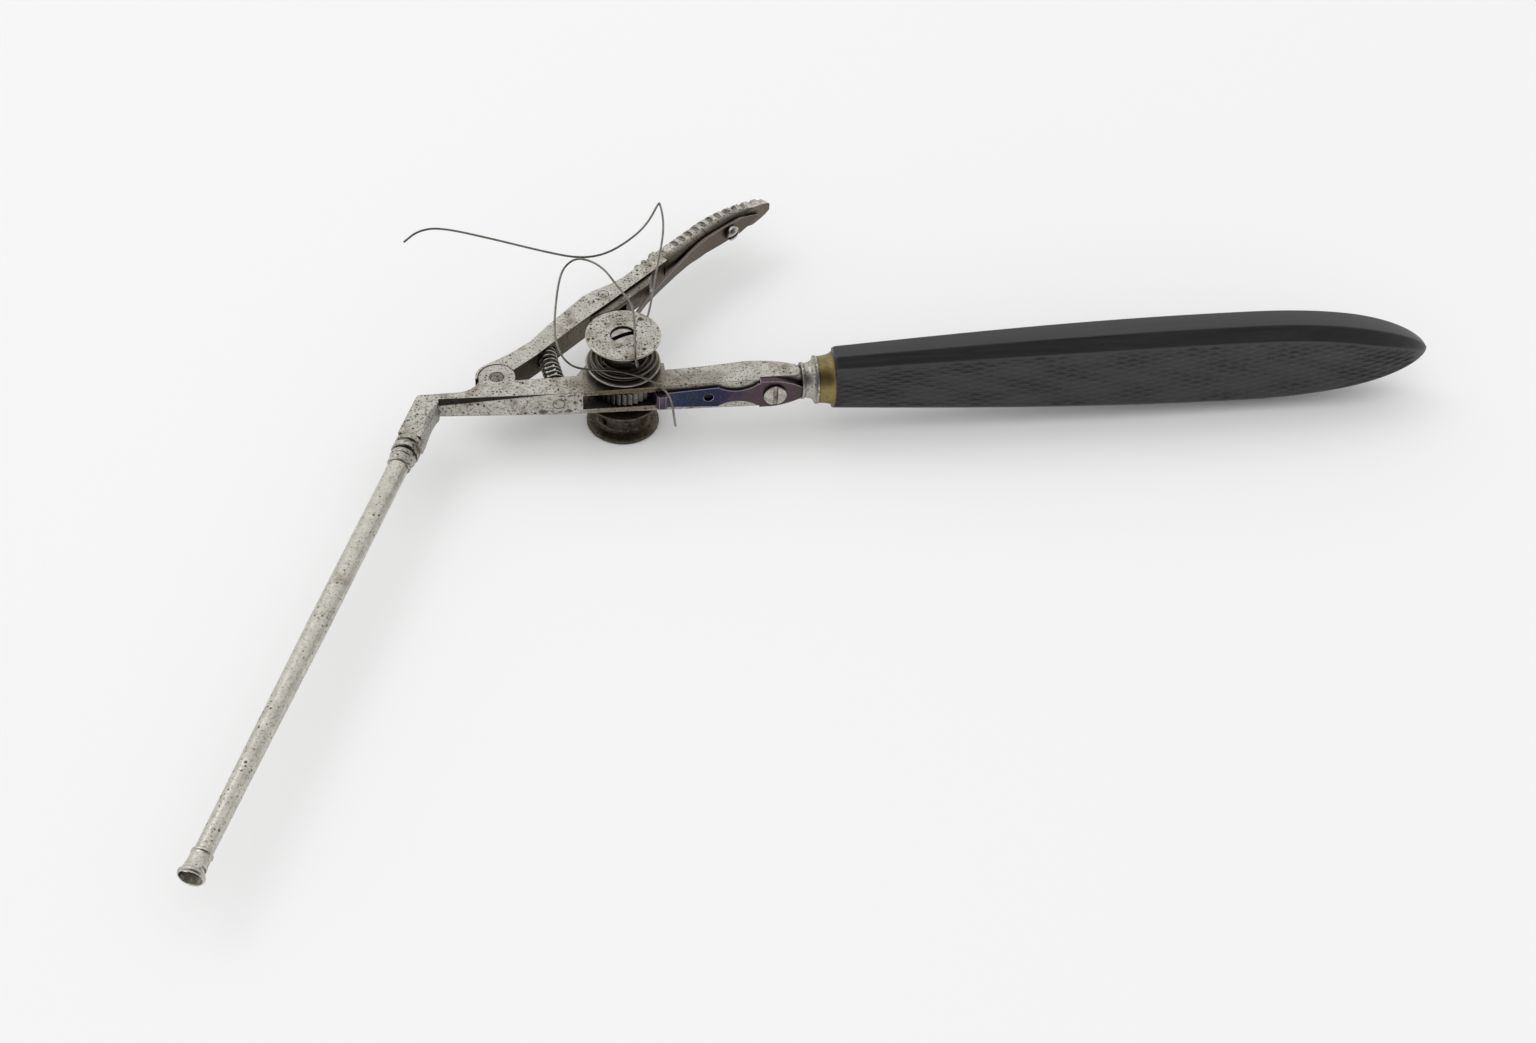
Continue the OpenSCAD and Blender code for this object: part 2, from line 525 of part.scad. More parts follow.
// Rings of k points round a route, square to it, carried along without twist
function run(p, i) = i == 0 ? unit(p[1] - p[0]) : i == len(p) - 1 ? unit(p[i] - p[i - 1])
    : unit(unit(p[i + 1] - p[i]) + unit(p[i] - p[i - 1]));
function across(t, n) = unit(n - t * (t * n));
function sides(t, n0) = [for (i = 0, n = across(t[0], n0); i < len(t);
    i = i + 1, n = across(t[min(i, len(t) - 1)], n)) n];
function sweep_points(p, t, n, r, k) = [for (i = [0:len(p) - 1], j = [0:k - 1])
    p[i] + r * (cos(360 * j / k) * n[i] + sin(360 * j / k) * cross(t[i], n[i]))];
module swept(p, r, k, n0) {
    t = [for (i = [0:len(p) - 1]) run(p, i)];
    polyhedron(points = sweep_points(p, t, sides(t, n0), r, k), faces = skin(len(p), k), convexity = 10);
}
// The least distance between points of a route that are at least skip points apart
function self_gap(p, skip) =
    min([for (i = [0:len(p) - skip - 1], j = [i + skip:len(p) - 1]) norm(p[i] - p[j])]);

coil_axis = [coil_dir[0], coil_dir[1], 0];
coil_side = [-coil_dir[1], coil_dir[0], 0];
coil_up = [0, 0, 1];
coil_start = [coil_from[0], coil_from[1], 0];
coil_end = [coil_to[0], coil_to[1], 0];
coil_run = coil_wire_d;
coil_helix = [for (i = [0:8 * coil_turns]) let (a = 45 * i)
    coil_start + coil_axis * (coil_run + (coil_l - 2 * coil_run) * i / (8 * coil_turns))
    + coil_r * (cos(a) * coil_up + sin(a) * coil_side)];
coil_route = concat([coil_start + coil_r * coil_up], coil_helix, [coil_end + coil_r * coil_up]);
echo(coil_spring_gap = self_gap(coil_route, 6) - coil_wire_d);
module coil_spring() color("gainsboro") lift() swept(coil_route, coil_wire_d / 2, 6, [0, 0, 1]);

module spring_post() color("gray") lift() on_front(-post_x, front_y) mirror([0, 0, 1]) {
    cylinder(r = post_d / 2, h = bar_deep);
    cylinder(r = 0.7, h = bar_deep + 2.4);
    translate([0, 0, bar_deep + 2.4]) sphere(r = 0.7);
}

// Holding spring: a waisted blade with a screwed butt and a nose that drops between the teeth
hold_screw_x = butt_x + 2.75;
hold_screw_l = 3.2;
blade_y = front_y - side_gap;
blade_x = 7.3;
nose_outline = concat([[blade_x, blade_y], [blade_x, blade_y - leaf_t - 0.7]],
    [[blade_x - 0.3, blade_y - 1.4], [blade_x - 1.5, blade_y - 1.4]],
    [[blade_x - 1.9, blade_y - 1], [blade_x - 2.2, -5.6]],
    [polar(wheel_r + 0.2, -39.7), polar(wheel_r - 0.22, -38.2), polar(wheel_r - 0.1, -35)],
    [[blade_x - 1, -5]]);
// The butt ends where its front meets the round of the bar
butt_edge = [for (t = [0:0.1:1]) let (x = butt_x + t * (neck_x - butt_x))
    [x, min(half_h(x) - 0.1, sqrt(pow(round_r(x), 2) - pow(bar_set + blade_y - leaf_t, 2)))]];
module hold_spring() color("#46518a") lift() difference() {
    union() {
        upright(blade_y - leaf_t, blade_y) difference() {
            polygon([[blade_x, -1.75], [15.9, -2.25], [butt_x + 0.5, -2.6], [butt_x + 0.5, 2.6], [15.9, 2.2],
                [blade_x, 1.65]]);
            for (s = [-1, 1]) translate([butt_x - 4.2, s * 7.45]) circle(r = 6.2);
            translate([2 * blade_x + 0.2, 0]) circle(r = 0.85);
        }
        upright(blade_y - leaf_t, butt_floor_y) polygon(concat(butt_edge,
            [for (i = [len(butt_edge) - 1:-1:0]) [butt_edge[i][0], -butt_edge[i][1]]]));
        slab(2.9) polygon(nose_outline);
    }
    on_front(hold_screw_x, 0) cylinder(r = screw_shank_r + 0.05, h = 20);
}

module hold_screw() color("silver") lift() on_front(hold_screw_x, blade_y - leaf_t)
    screw(screw_d / 2, 1, screw_shank_r, hold_screw_l - 0.1 + butt_floor_y - blade_y + leaf_t, 0.8, 90);

// Axle: round journals in the cheeks, square where the wheel and the reels sit; its top takes a screw
axle_end = stand_h - 2.4;
counterbore = 1.2;
module square_bar(w, h) cube([w, w, h], center = true);
module axle() color("gray") lift() difference() {
    union() {
        square_bar(axle_sq, 2 * axle_end);
        for (s = [0, 1]) mirror([0, 0, s]) translate([0, 0, wheel_boss])
            cylinder(r = axle_r, h = boss_h + side_gap - wheel_boss);
    }
    translate([0, 0, boss_h + 1]) cylinder(r = reel_shank_r + seat_fit, h = axle_end);
}

// Ratchet wheel: saw teeth that are steep on the side that the pawl pushes
wheel_boss = wheel_t / 2 + 0.2;
wheel_points = [for (i = [0:teeth - 1], a = 360 * i / teeth)
    each [polar(wheel_r, a), polar(wheel_r - tooth_h, a + 0.1)]];
module ratchet_wheel() color("gray") lift() difference() {
    union() {
        slab(wheel_t) polygon(wheel_points);
        cylinder(r = 2.6, h = 2 * wheel_boss, center = true);
    }
    square_bar(axle_sq + 2 * seat_fit, 10);
}

// What both reels share: a square socket and a wire hole
module reel_cuts(hole_a, hole_z) {
    translate([0, 0, boss_h]) square_bar(axle_sq + 2 * seat_fit, 2 * (axle_end - boss_h + 0.05));
    rotate([0, 0, hole_a]) translate([2.2, 0, hole_z]) rotate([0, 90, 0]) cylinder(r = 0.7, h = 8);
}

reel_r = reel_d / 2;
upper_hub_r = upper_hub_d / 2;
lower_hub_r = lower_hub_d / 2;
boss_top = boss_h + side_gap;
flange_lo = boss_top + 0.8;
flange_hi = flange_lo + 0.45;
loop_hole_a = -60;
loop_hole_z = 7;
module upper_reel() color("#a8a37a") lift() difference() {
    rotate_extrude($fn = 128) polygon(concat([[0, boss_top], [2.6, boss_top], [2.6, flange_lo]],
        [[reel_r - 0.15, flange_lo], [reel_r, flange_lo + 0.15], [reel_r, flange_hi - 0.15]],
        [[reel_r - 0.15, flange_hi], [upper_hub_r + 0.3, flange_hi], [upper_hub_r, flange_hi + 0.3]],
        cove(upper_hub_r, upper_hub_r + 0.9, stand_h - 1.4, stand_h - 0.45, 6),
        [[reel_r - 0.1, stand_h - 0.45], [reel_r + 0.02, stand_h - 0.33], [reel_r + 0.02, stand_h - 0.12]],
        [[reel_r - 0.1, stand_h], [0, stand_h]]));
    reel_cuts(loop_hole_a, loop_hole_z);
    cylinder(r = reel_shank_r + 0.05, h = 3 * stand_h);
    translate([0, 0, stand_h - counterbore]) cylinder(r = screw_d / 2 + 0.25, h = 5);
}

// The lower reel is closed: its outer face is the flat on which the instrument stands
module lower_reel() color("#8d8761") lift() mirror([0, 0, 1]) difference() {
    rotate_extrude($fn = 128) polygon(concat([[0, boss_top], [2.6, boss_top], [2.6, flange_lo + 0.35]],
        [[reel_r - 0.25, flange_lo + 0.35], [reel_r - 0.15, flange_lo + 0.45]],
        [[reel_r - 0.15, flange_hi + 0.25], [reel_r - 0.25, flange_hi + 0.35]],
        [[lower_hub_r, flange_hi + 0.35]],
        cove(lower_hub_r, lower_hub_r + 0.7, stand_h - 1.9, stand_h - 1, 6),
        arc([reel_r - 0.6, stand_h - 0.5], 0.5, -90, 90, 10), [[0, stand_h]]));
    reel_cuts(215, 8.05);
}

module reel_screw() color("gray") lift() translate([0, 0, stand_h - counterbore])
    screw(screw_d / 2, counterbore - 0.1, reel_shank_r, 4.2, 0.6, 50);

// Snare wire: two layers of turns that lie on the inner flange, spiralling out and in again
turn_lo = flange_hi + wire_d / 2 + 0.1;
turn_rise = wire_d + 0.5;
turn_in = upper_hub_r + wire_d / 2 + 0.2;
turn_step = wire_d + 0.52;
turn_rings = 24;
spiral_n = round(wire_turns_n * turn_rings);
climb_n = turn_rings / 2;
function turn_at(r, i, z) = let (a = 200 - 360 * i / turn_rings) [r * cos(a), r * sin(a), z];
layer_out = [for (i = [0:spiral_n]) turn_at(turn_in + turn_step * i / turn_rings, i, turn_lo)];
climb = [for (i = [1:climb_n]) turn_at(turn_in + turn_step * wire_turns_n, spiral_n + i,
    turn_lo + turn_rise * i / climb_n)];
layer_in = [for (i = [1:spiral_n]) turn_at(turn_in + turn_step * (wire_turns_n - i / turn_rings),
    spiral_n + climb_n + i, turn_lo + turn_rise)];
turns_body = concat(layer_out, climb, layer_in);
turns_last = turns_body[len(turns_body) - 1];
function inward(p, r) = [p[0] * r / norm([p[0], p[1]]), p[1] * r / norm([p[0], p[1]]), p[2]];
turns_route = concat([inward(turns_body[0], upper_hub_r)], turns_body, [inward(turns_last, upper_hub_r)]);
echo(wire_turns_gap = self_gap(turns_body, 6) - wire_d);
module wire_turns() color("silver") lift() swept(turns_route, wire_d / 2, 6, [0, 0, 1]);

// Free stretches of the wire, which stand by their own stiffness; routes are chosen by hand
function radial(r, a, z) = [r * cos(a), r * sin(a), z];
long_route = concat([radial(upper_hub_r, 48.5, 7), radial(upper_hub_r + 1.5, 48.5, 7.2)],
    [[5.1, 5.8, 9], [7.9, 17.3, 11.5], [9.6, 23.9, 12.5], [10.3, 28.9, 13], [10.3, 32.9, 13.5]],
    [[9.5, 33, 13.5], [7.3, 28.2, 13], [4, 24.5, 12.5], [-1, 20.9, 12], [-6, 20, 12], [-12, 22.3, 12]],
    [[-22.5, 27.4, 12], [-31.1, 31.1, 12], [-35.1, 31, 11.5], [-37.7, 28.5, 11]]);
loop_route = concat([radial(2.2, loop_hole_a, loop_hole_z), radial(4.6, loop_hole_a, loop_hole_z)],
    [[1.9, -6.2, 8], [1.6, -7.6, 9.5], [1.4, -7.2, 11.8], [1.8, -2, 13.2], [2, 0.9, 14], [1.6, 3.4, 15]],
    [[-0.3, 7.1, 15.5], [-2.6, 13.2, 15.5], [-6.2, 17, 14.7], [-8.7, 16.9, 13.5], [-10.4, 13.8, 12.5]],
    [[-12, 4.7, 9.5], [-11.8, 0, 8.5], [-10.7, -2.8, 7.5], [-8.4, -4.3, 6.6], [-3.6, -4.2, 6.1]],
    [[0.5, -5.4, 6], [3.7, -7, 5.8], [6.6, -9.1, 4.9], [7.5, -11.7, 4.3], [7.5, -17.3, 3.7]]);
// Cut each corner of a route once, so that it bends in two easy steps
function eased(p) = concat([p[0]],
    [for (i = [0:len(p) - 2], f = [0.25, 0.75]) p[i] * (1 - f) + p[i + 1] * f],
    [p[len(p) - 1]]);
function route_l(p) = len(p) < 2 ? 0 : [for (i = 1, s = norm(p[1] - p[0]); i < len(p);
    i = i + 1, s = s + (i < len(p) ? norm(p[i] - p[i - 1]) : 0)) s][len(p) - 2];
echo(wire_long_tail_length = route_l(eased(long_route)), wire_loop_tail_length = route_l(eased(loop_route)));
echo(wire_turns_length = route_l(turns_route));
module wire_long_tail() color("silver") lift() swept(eased(long_route), wire_d / 2, 8, [0, 0, 1]);
module wire_loop_tail() color("silver") lift() swept(eased(loop_route), wire_d / 2, 8, [0, 0, 1]);

frame();
brass_collar();
handle();
tube();
tube_tip();
tube_collar();
hinge_pin();
lever();
drive_pawl();
pawl_pin();
lever_spring();
lever_spring_screw();
coil_spring();
spring_post();
hold_spring();
hold_screw();
axle();
ratchet_wheel();
upper_reel();
lower_reel();
reel_screw();
wire_turns();
wire_long_tail();
wire_loop_tail();
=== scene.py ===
"""Looks for the nasal snare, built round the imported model: worn steel, blued spring, cut ebony and wire."""
import math

import bpy
from mathutils import Matrix, Vector


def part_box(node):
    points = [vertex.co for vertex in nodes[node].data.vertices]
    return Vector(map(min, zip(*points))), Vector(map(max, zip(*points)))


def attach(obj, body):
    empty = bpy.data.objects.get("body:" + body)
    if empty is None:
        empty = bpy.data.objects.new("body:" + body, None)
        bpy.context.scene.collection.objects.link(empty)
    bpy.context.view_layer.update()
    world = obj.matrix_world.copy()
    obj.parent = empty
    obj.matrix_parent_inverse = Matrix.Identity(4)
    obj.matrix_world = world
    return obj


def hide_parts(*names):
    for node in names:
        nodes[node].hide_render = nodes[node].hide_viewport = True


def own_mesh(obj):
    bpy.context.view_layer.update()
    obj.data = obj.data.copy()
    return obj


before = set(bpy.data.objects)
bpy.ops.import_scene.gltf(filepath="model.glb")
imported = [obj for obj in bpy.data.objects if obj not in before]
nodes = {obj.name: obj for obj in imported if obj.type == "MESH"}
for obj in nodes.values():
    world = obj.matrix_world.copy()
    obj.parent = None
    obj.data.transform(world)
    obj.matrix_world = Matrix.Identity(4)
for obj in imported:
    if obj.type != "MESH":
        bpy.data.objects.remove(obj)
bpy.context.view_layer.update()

MM = 0.001
AXLE_H = 10.4  # height of the middle of the bar over the rest face, mm
BAR_Y = -3.7  # middle line of the bar, mm
BAR_FRONT, BAR_BACK = -5.9, -1.5  # its front and back faces, mm


def place(x, y, z):
    """A point given in mm from the reel axle and the middle of the bar, in the row frame in metres."""
    return Vector((x * MM, y * MM, (z + AXLE_H) * MM))


def radial(r, degrees, z):
    """A point in mm given by its distance and direction from the reel axle."""
    return (r * math.cos(math.radians(degrees)), r * math.sin(math.radians(degrees)), z)


def ramp(x):
    return max(0, min(1, x))


def show(piece, body, slot, *stands_for):
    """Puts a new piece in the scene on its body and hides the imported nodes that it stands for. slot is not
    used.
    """
    bpy.context.scene.collection.objects.link(piece)
    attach(piece, body)
    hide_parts(*stands_for)
    return piece


# Camera
FRAME_WIDE = 1536  # pixels
FOCAL_LENGTH = 2200  # pixels
SENSOR = 36  # mm
CAMERA_AT = Vector((-29.68, -296.52, 276.44))  # mm in the row frame
CAMERA_RIGHT = Vector((0.98862, -0.14142, 0.0512))
CAMERA_UP = Vector((0.06523, 0.70991, 0.70126))
CAMERA_BACK = Vector((-0.13552, -0.68994, 0.71106))


def aim_camera():
    lens = bpy.data.cameras.new("camera")
    lens.sensor_fit = "HORIZONTAL"
    lens.sensor_width = SENSOR
    lens.lens = FOCAL_LENGTH / FRAME_WIDE * SENSOR
    lens.clip_start = 0.01
    lens.clip_end = 20
    camera = bpy.data.objects.new("camera", lens)
    bpy.context.scene.collection.objects.link(camera)
    turn = Matrix((CAMERA_RIGHT, CAMERA_UP, CAMERA_BACK)).transposed().to_4x4()
    camera.matrix_world = Matrix.Translation(CAMERA_AT * MM) @ turn
    bpy.context.scene.camera = camera


aim_camera()


# Snare wire
WIRE = 0.4  # thickness, mm
LONG_TAIL = [radial(3.5, 48.5, 7), radial(5, 48.5, 7.2), (5.1, 5.8, 9), (7.9, 17.3, 11.5), (9.6, 23.9, 12.5),
             (10.3, 28.9, 13), (10.1, 33.3, 13.5), (9.8, 33.4, 13.5), (7.3, 28.2, 13), (4, 24.5, 12.5),
             (-1, 20.9, 12), (-6, 20, 12), (-12, 22.3, 12), (-22.5, 27.4, 12), (-31.1, 31.1, 12),
             (-35.1, 31, 11.5), (-37.7, 28.5, 11)]
LOOP_TAIL = [radial(2.2, -60, 7), radial(4.6, -60, 7), (1.9, -6.2, 8), (1.6, -7.6, 9.5), (1.4, -7.2, 11.8),
             (1.8, -2, 13.2), (2, 0.9, 14), (1.6, 3.4, 15), (-0.3, 7.1, 15.48), (-2.6, 13.2, 15.48),
             (-6.2, 17, 14.7), (-8.7, 16.9, 13.5), (-10.4, 13.8, 12.5), (-12, 4.7, 9.5), (-11.8, 0, 8.5),
             (-10.7, -2.8, 7.5), (-8.4, -4.3, 6.6), (-3.6, -4.2, 6.1), (0.5, -5.4, 6), (3.7, -7, 5.8),
             (6.6, -9.1, 4.9), (7.5, -11.7, 4.3), (7.5, -17.3, 3.7)]


def eased(points, times):
    """The route with each corner cut at a quarter and three quarters, its ends kept."""
    for _ in range(times):
        cut = [points[0]]
        for a, b in zip(points, points[1:]):
            cut += [a.lerp(b, 0.25), a.lerp(b, 0.75)]
        points = cut + [points[-1]]
    return points


def wire(name, points, thick, body, slot, stands_for, as_mesh=False):
    """A round wire along points in metres: one open spline, or its mesh where the wire has to shorten."""
    curve = bpy.data.curves.new(name, "CURVE")
    curve.dimensions = "3D"
    curve.bevel_depth = 1  # the points' own radius scales it, which also keeps the curve's box true
    curve.bevel_resolution = 3
    curve.use_fill_caps = True
    spline = curve.splines.new("POLY")
    spline.points.add(len(points) - 1)
    for knot, point in zip(spline.points, points):
        knot.co = (*point, 1)
        knot.radius = thick / 2 * MM
    spline.use_smooth = True
    piece = bpy.data.objects.new(name, curve)
    if as_mesh:
        shape = bpy.data.meshes.new_from_object(piece)
        bpy.data.objects.remove(piece)
        piece = bpy.data.objects.new(name, shape)
    return show(piece, body, slot, stands_for)


def free_end(name, route, node):
    """A loose end of the snare wire, which leaves the upper reel's hub and ends bare."""
    line = eased([place(*p) for p in route], 4)
    tail = wire(name, line, WIRE, "reel_body", "bright_wire", node)
    return tail


long_tail = free_end("long_wire_tail", LONG_TAIL, "wire_long_tail")
loop_tail = free_end("looped_wire_tail", LOOP_TAIL, "wire_loop_tail")


def wound_turns():
    """Two spiral layers on the upper reel's hub, out and in again, each end turned in to the hub."""
    per_turn = 72  # points
    layer = round(2.25 * per_turn)
    climb = per_turn // 2
    total = 2 * layer + climb
    low, rise = 4.5, 0.9
    hub_r, inner_r, spacing = 3.5, 3.9, 0.92
    points = []
    for i in range(total + 1):
        out = min(i, layer, total - i)
        z = low + rise * ramp((i - layer) / climb)
        points.append(radial(inner_r + spacing * out / per_turn, 200 - 360 * i / per_turn, z))
    first, last = (radial(hub_r, 200 - 360 * i / per_turn, z) for i, z in ((0, low), (total, low + rise)))
    return [place(*p) for p in (first, *points, last)]


turns = wire("wound_wire_turns", wound_turns(), WIRE, "reel_body", "bright_wire", "wire_turns")


# Coil spring between the bar and the lever
COIL_FOOT, COIL_HEAD = Vector((-12, BAR_BACK, 0)), Vector((-13.428, 8.474, 0))
COIL_ALONG = (COIL_HEAD - COIL_FOOT).normalized()
COIL_R, COIL_WIRE, COIL_TURNS = 1.55, 0.5, 8


def coil_points():
    """An open helix whose ends run straight into the bar and the lever."""
    side, up = Vector((-COIL_ALONG.y, COIL_ALONG.x, 0)), Vector((0, 0, 1))
    per_turn, run = 40, 0.5  # points, and the straight run at each end in mm
    tall = (COIL_HEAD - COIL_FOOT).length
    steps = per_turn * COIL_TURNS
    points = [COIL_FOOT + COIL_R * up]
    for i in range(steps + 1):
        a = 2 * math.pi * i / per_turn
        points.append(COIL_FOOT + COIL_ALONG * (run + (tall - 2 * run) * i / steps)
                      + COIL_R * (math.cos(a) * up + math.sin(a) * side))
    return [place(*p) for p in (*points, COIL_HEAD + COIL_R * up)]


coil = wire("lever_coil_spring", coil_points(), COIL_WIRE, "frame_body", "bright_wire", "coil_spring",
            as_mesh=True)
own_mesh(coil)


# Mesh pieces
def solid(name, verts, faces, body, slot, stands_for):
    mesh = bpy.data.meshes.new(name)
    mesh.from_pydata(verts, [], faces)
    mesh.validate()
    mesh.update()
    return show(bpy.data.objects.new(name, mesh), body, slot, stands_for)


def skin(rings, around):
    """Quads over rings of points, each ring closed, and one face on each end."""
    faces = [(i * around + j, i * around + (j + 1) % around, (i + 1) * around + (j + 1) % around,
              (i + 1) * around + j) for i in range(rings - 1) for j in range(around)]
    faces.append(tuple(range(around - 1, -1, -1)))
    faces.append(tuple(range((rings - 1) * around, rings * around)))
    return faces


# Handle: an eight-sided leaf with its corners rubbed round and its two broad faces cut in shallow diamonds
HANDLE_X, HANDLE_L = 37.7, 114.1
# Height and depth: at the root, how much more in the middle, and the share of the length where each closes in
ROOT_TALL, SWELL_TALL, TALL_CLOSES = 12.2, 6.1, 0.68
ROOT_DEEP, SWELL_DEEP, DEEP_CLOSES = 6.2, 2.3, 0.85
ROW_STEP, DIAMOND_L = 1.25, 4.4  # height and length of one chequer diamond, mm
CUT_DEPTH, CUT_HALF = 0.32, 0.38  # depth and half width of one V cut, mm
PLAIN_END = 3.2  # length of the tip that is left plain, mm
ROUNDING = 0.28  # how far back from a corner its rounding starts, mm
STATION_STEP, END_STATIONS = 0.22, 26
FACE_COLUMNS, CORNER_STEPS = 76, 3


def closure(t, start, p, q):
    """1 up to start, then falling to 0 at the end in a blunt curve."""
    return 1 if t <= start else max(0, 1 - ((t - start) / (1 - start)) ** p) ** q


def half_section(t):
    """Half the height and half the depth of the handle at a share t of its length."""
    root = 1 - 0.03 * (1 - ramp(t / 0.004)) ** 2
    tall = ROOT_TALL + SWELL_TALL * math.sin(math.pi / 2 * ramp(t / TALL_CLOSES))
    deep = ROOT_DEEP + SWELL_DEEP * math.sin(math.pi / 2 * ramp(t / 0.6))
    return (max(0.3, root * tall * closure(t, TALL_CLOSES, 2.3, 0.66) / 2),
            max(0.25, root * deep * closure(t, DEEP_CLOSES, 2, 0.5) / 2))


def chequer(x, z, top):
    """Depth of the two crossing sets of V cuts at a place on a broad face; its border is left plain."""
    tilt = math.atan2(ROW_STEP, DIAMOND_L)
    pitch = ROW_STEP * math.cos(tilt)
    deepest = 0
    for way in (-1, 1):
        across = (z * math.cos(tilt) + way * x * math.sin(tilt)) / pitch
        off = abs(across - round(across)) * pitch
        deepest = max(deepest, CUT_DEPTH * max(0, 1 - off / CUT_HALF))
    border = ramp((top - 0.35 - abs(z)) / 0.25)
    ends = ramp((x - 0.2) / 0.3) * ramp((HANDLE_L - PLAIN_END - x) / 0.6)
    worn = 0.72 + 0.28 * math.sin(0.31 * x + 0.9 * math.sin(0.7 * z)) * math.cos(0.83 * z + 0.11 * x)
    return deepest * border * ends * worn


def leaf_ring(x):
    """The handle's outline across, x mm from its root, as points (depth, height) from its middle."""
    tall, deep = half_section(x / HANDLE_L)
    bevel = min(0.5 * deep, 0.6 * tall)
    corners = [Vector(c) for c in ((deep, tall - bevel), (deep - bevel, tall), (bevel - deep, tall),
                                   (-deep, tall - bevel), (-deep, bevel - tall), (bevel - deep, -tall),
                                   (deep - bevel, -tall), (deep, bevel - tall))]
    round_by = min(ROUNDING, 0.3 * bevel, 0.3 * (tall - bevel) + 0.02)
    ring = []
    for k, corner in enumerate(corners):
        ahead = corners[(k + 1) % 8]
        before = (corners[k - 1] - corner).normalized() * round_by
        after = (ahead - corner).normalized() * round_by
        for s in range(CORNER_STEPS + 1):
            f = s / CORNER_STEPS
            ring.append(corner + before * (1 - f) ** 2 + after * f ** 2)
        if k in (3, 7):  # a broad face follows this corner
            face_start, face_end = ring[-1], ahead - after
            for s in range(1, FACE_COLUMNS):
                p = face_start.lerp(face_end, s / FACE_COLUMNS)
                inward = min(chequer(x, p.y, tall - bevel), 0.5 * deep)
                ring.append(Vector((p.x - math.copysign(inward, p.x), p.y)))
    return ring


def chequered_handle():
    stations = [i * STATION_STEP for i in range(int(HANDLE_L * 0.955 / STATION_STEP))]
    left = HANDLE_L - stations[-1]
    stations += [HANDLE_L - left * (1 - i / END_STATIONS) ** 1.7 for i in range(1, END_STATIONS + 1)]
    verts = []
    for x in stations:
        mid = 0.75 * (1 - x / HANDLE_L / 0.77)  # the handle leans down a little towards its tip
        ring = leaf_ring(x)
        verts += [place(HANDLE_X + x, BAR_Y + p.x, mid + p.y) for p in ring]
    faces = skin(len(stations), len(ring))
    piece = solid("chequered_ebony_handle", verts, faces, "frame_body", "ebony", "handle")
    for face in piece.data.polygons:
        face.use_smooth = True
    return piece


handle = chequered_handle()


# Tube: rolled from sheet, with its long seam sunk a little and wandering round towards the tip
ELBOW = Vector((-34.6, BAR_Y, 0))
TUBE_ALONG = Vector((math.cos(math.radians(-111)), math.sin(math.radians(-111)), 0))
TUBE_FROM, TUBE_TO = 14.1, 103.8  # from the elbow's corner, mm
TUBE_R, TAPER_FROM, TAPER_BY = 1.8, 52.8, 0.35
BORE_R, BORE_DEEP = 1.1, 13.8
SEAM_SUNK, SEAM_HALF = 0.07, 0.03  # depth in mm, and half width as a share of a full turn


def seamed_tube():
    side, up = Vector((-TUBE_ALONG.y, TUBE_ALONG.x, 0)), Vector((0, 0, 1))

    def point(s, r, share):
        """A point s mm along the tube and r mm off its middle, a share of a turn round from the seam."""
        drift = ramp((s - 14) / 88)
        a = math.radians(24 + 46 * drift * drift) + 2 * math.pi * share
        return place(*(ELBOW + TUBE_ALONG * s + r * (math.cos(a) * side + math.sin(a) * up)))

    near_seam = [0, 0.018, 0.036, 0.054, 0.08, 0.12]
    shares = near_seam + [0.12 + 0.76 * i / 84 for i in range(1, 84)]
    shares += [1 - k for k in reversed(near_seam[1:])]
    stations = [TUBE_FROM] + [15 + 1.2 * i for i in range(73)] + [TUBE_TO]
    verts = []
    for s in stations:
        r = TUBE_R - TAPER_BY * ramp((s - TAPER_FROM) / 47.7)
        verts += [point(s, r - SEAM_SUNK * ramp(1 - min(k, 1 - k) / SEAM_HALF), k) for k in shares]
    around = len(shares)
    mouth = (len(stations) - 1) * around
    bore = mouth + around
    rim = [point(TUBE_TO, BORE_R, k) for k in shares]
    verts += rim + [p - BORE_DEEP * MM * TUBE_ALONG for p in rim]
    faces = skin(len(stations), around)[:-1]
    for j in range(around):
        k = (j + 1) % around
        faces.append((mouth + j, mouth + k, bore + k, bore + j))
        faces.append((bore + j, bore + k, bore + around + k, bore + around + j))
    faces.append(tuple(bore + around + j for j in range(around)))
    piece = solid("seamed_tube", verts, faces, "frame_body", "worn_nickel", "tube")
    for face in piece.data.polygons:
        face.use_smooth = len(face.vertices) == 4
    return piece


tube = seamed_tube()


# Screw of the upper reel: a low dome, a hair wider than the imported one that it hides
SLOT_WIDE, SLOT_TURNED = 0.95, 22  # mm and degrees
RIM_H, DOME_H, HEAD_H = 0.7, 0.2, 0.9
CHORDS, CHORD_STEPS = 12, 16


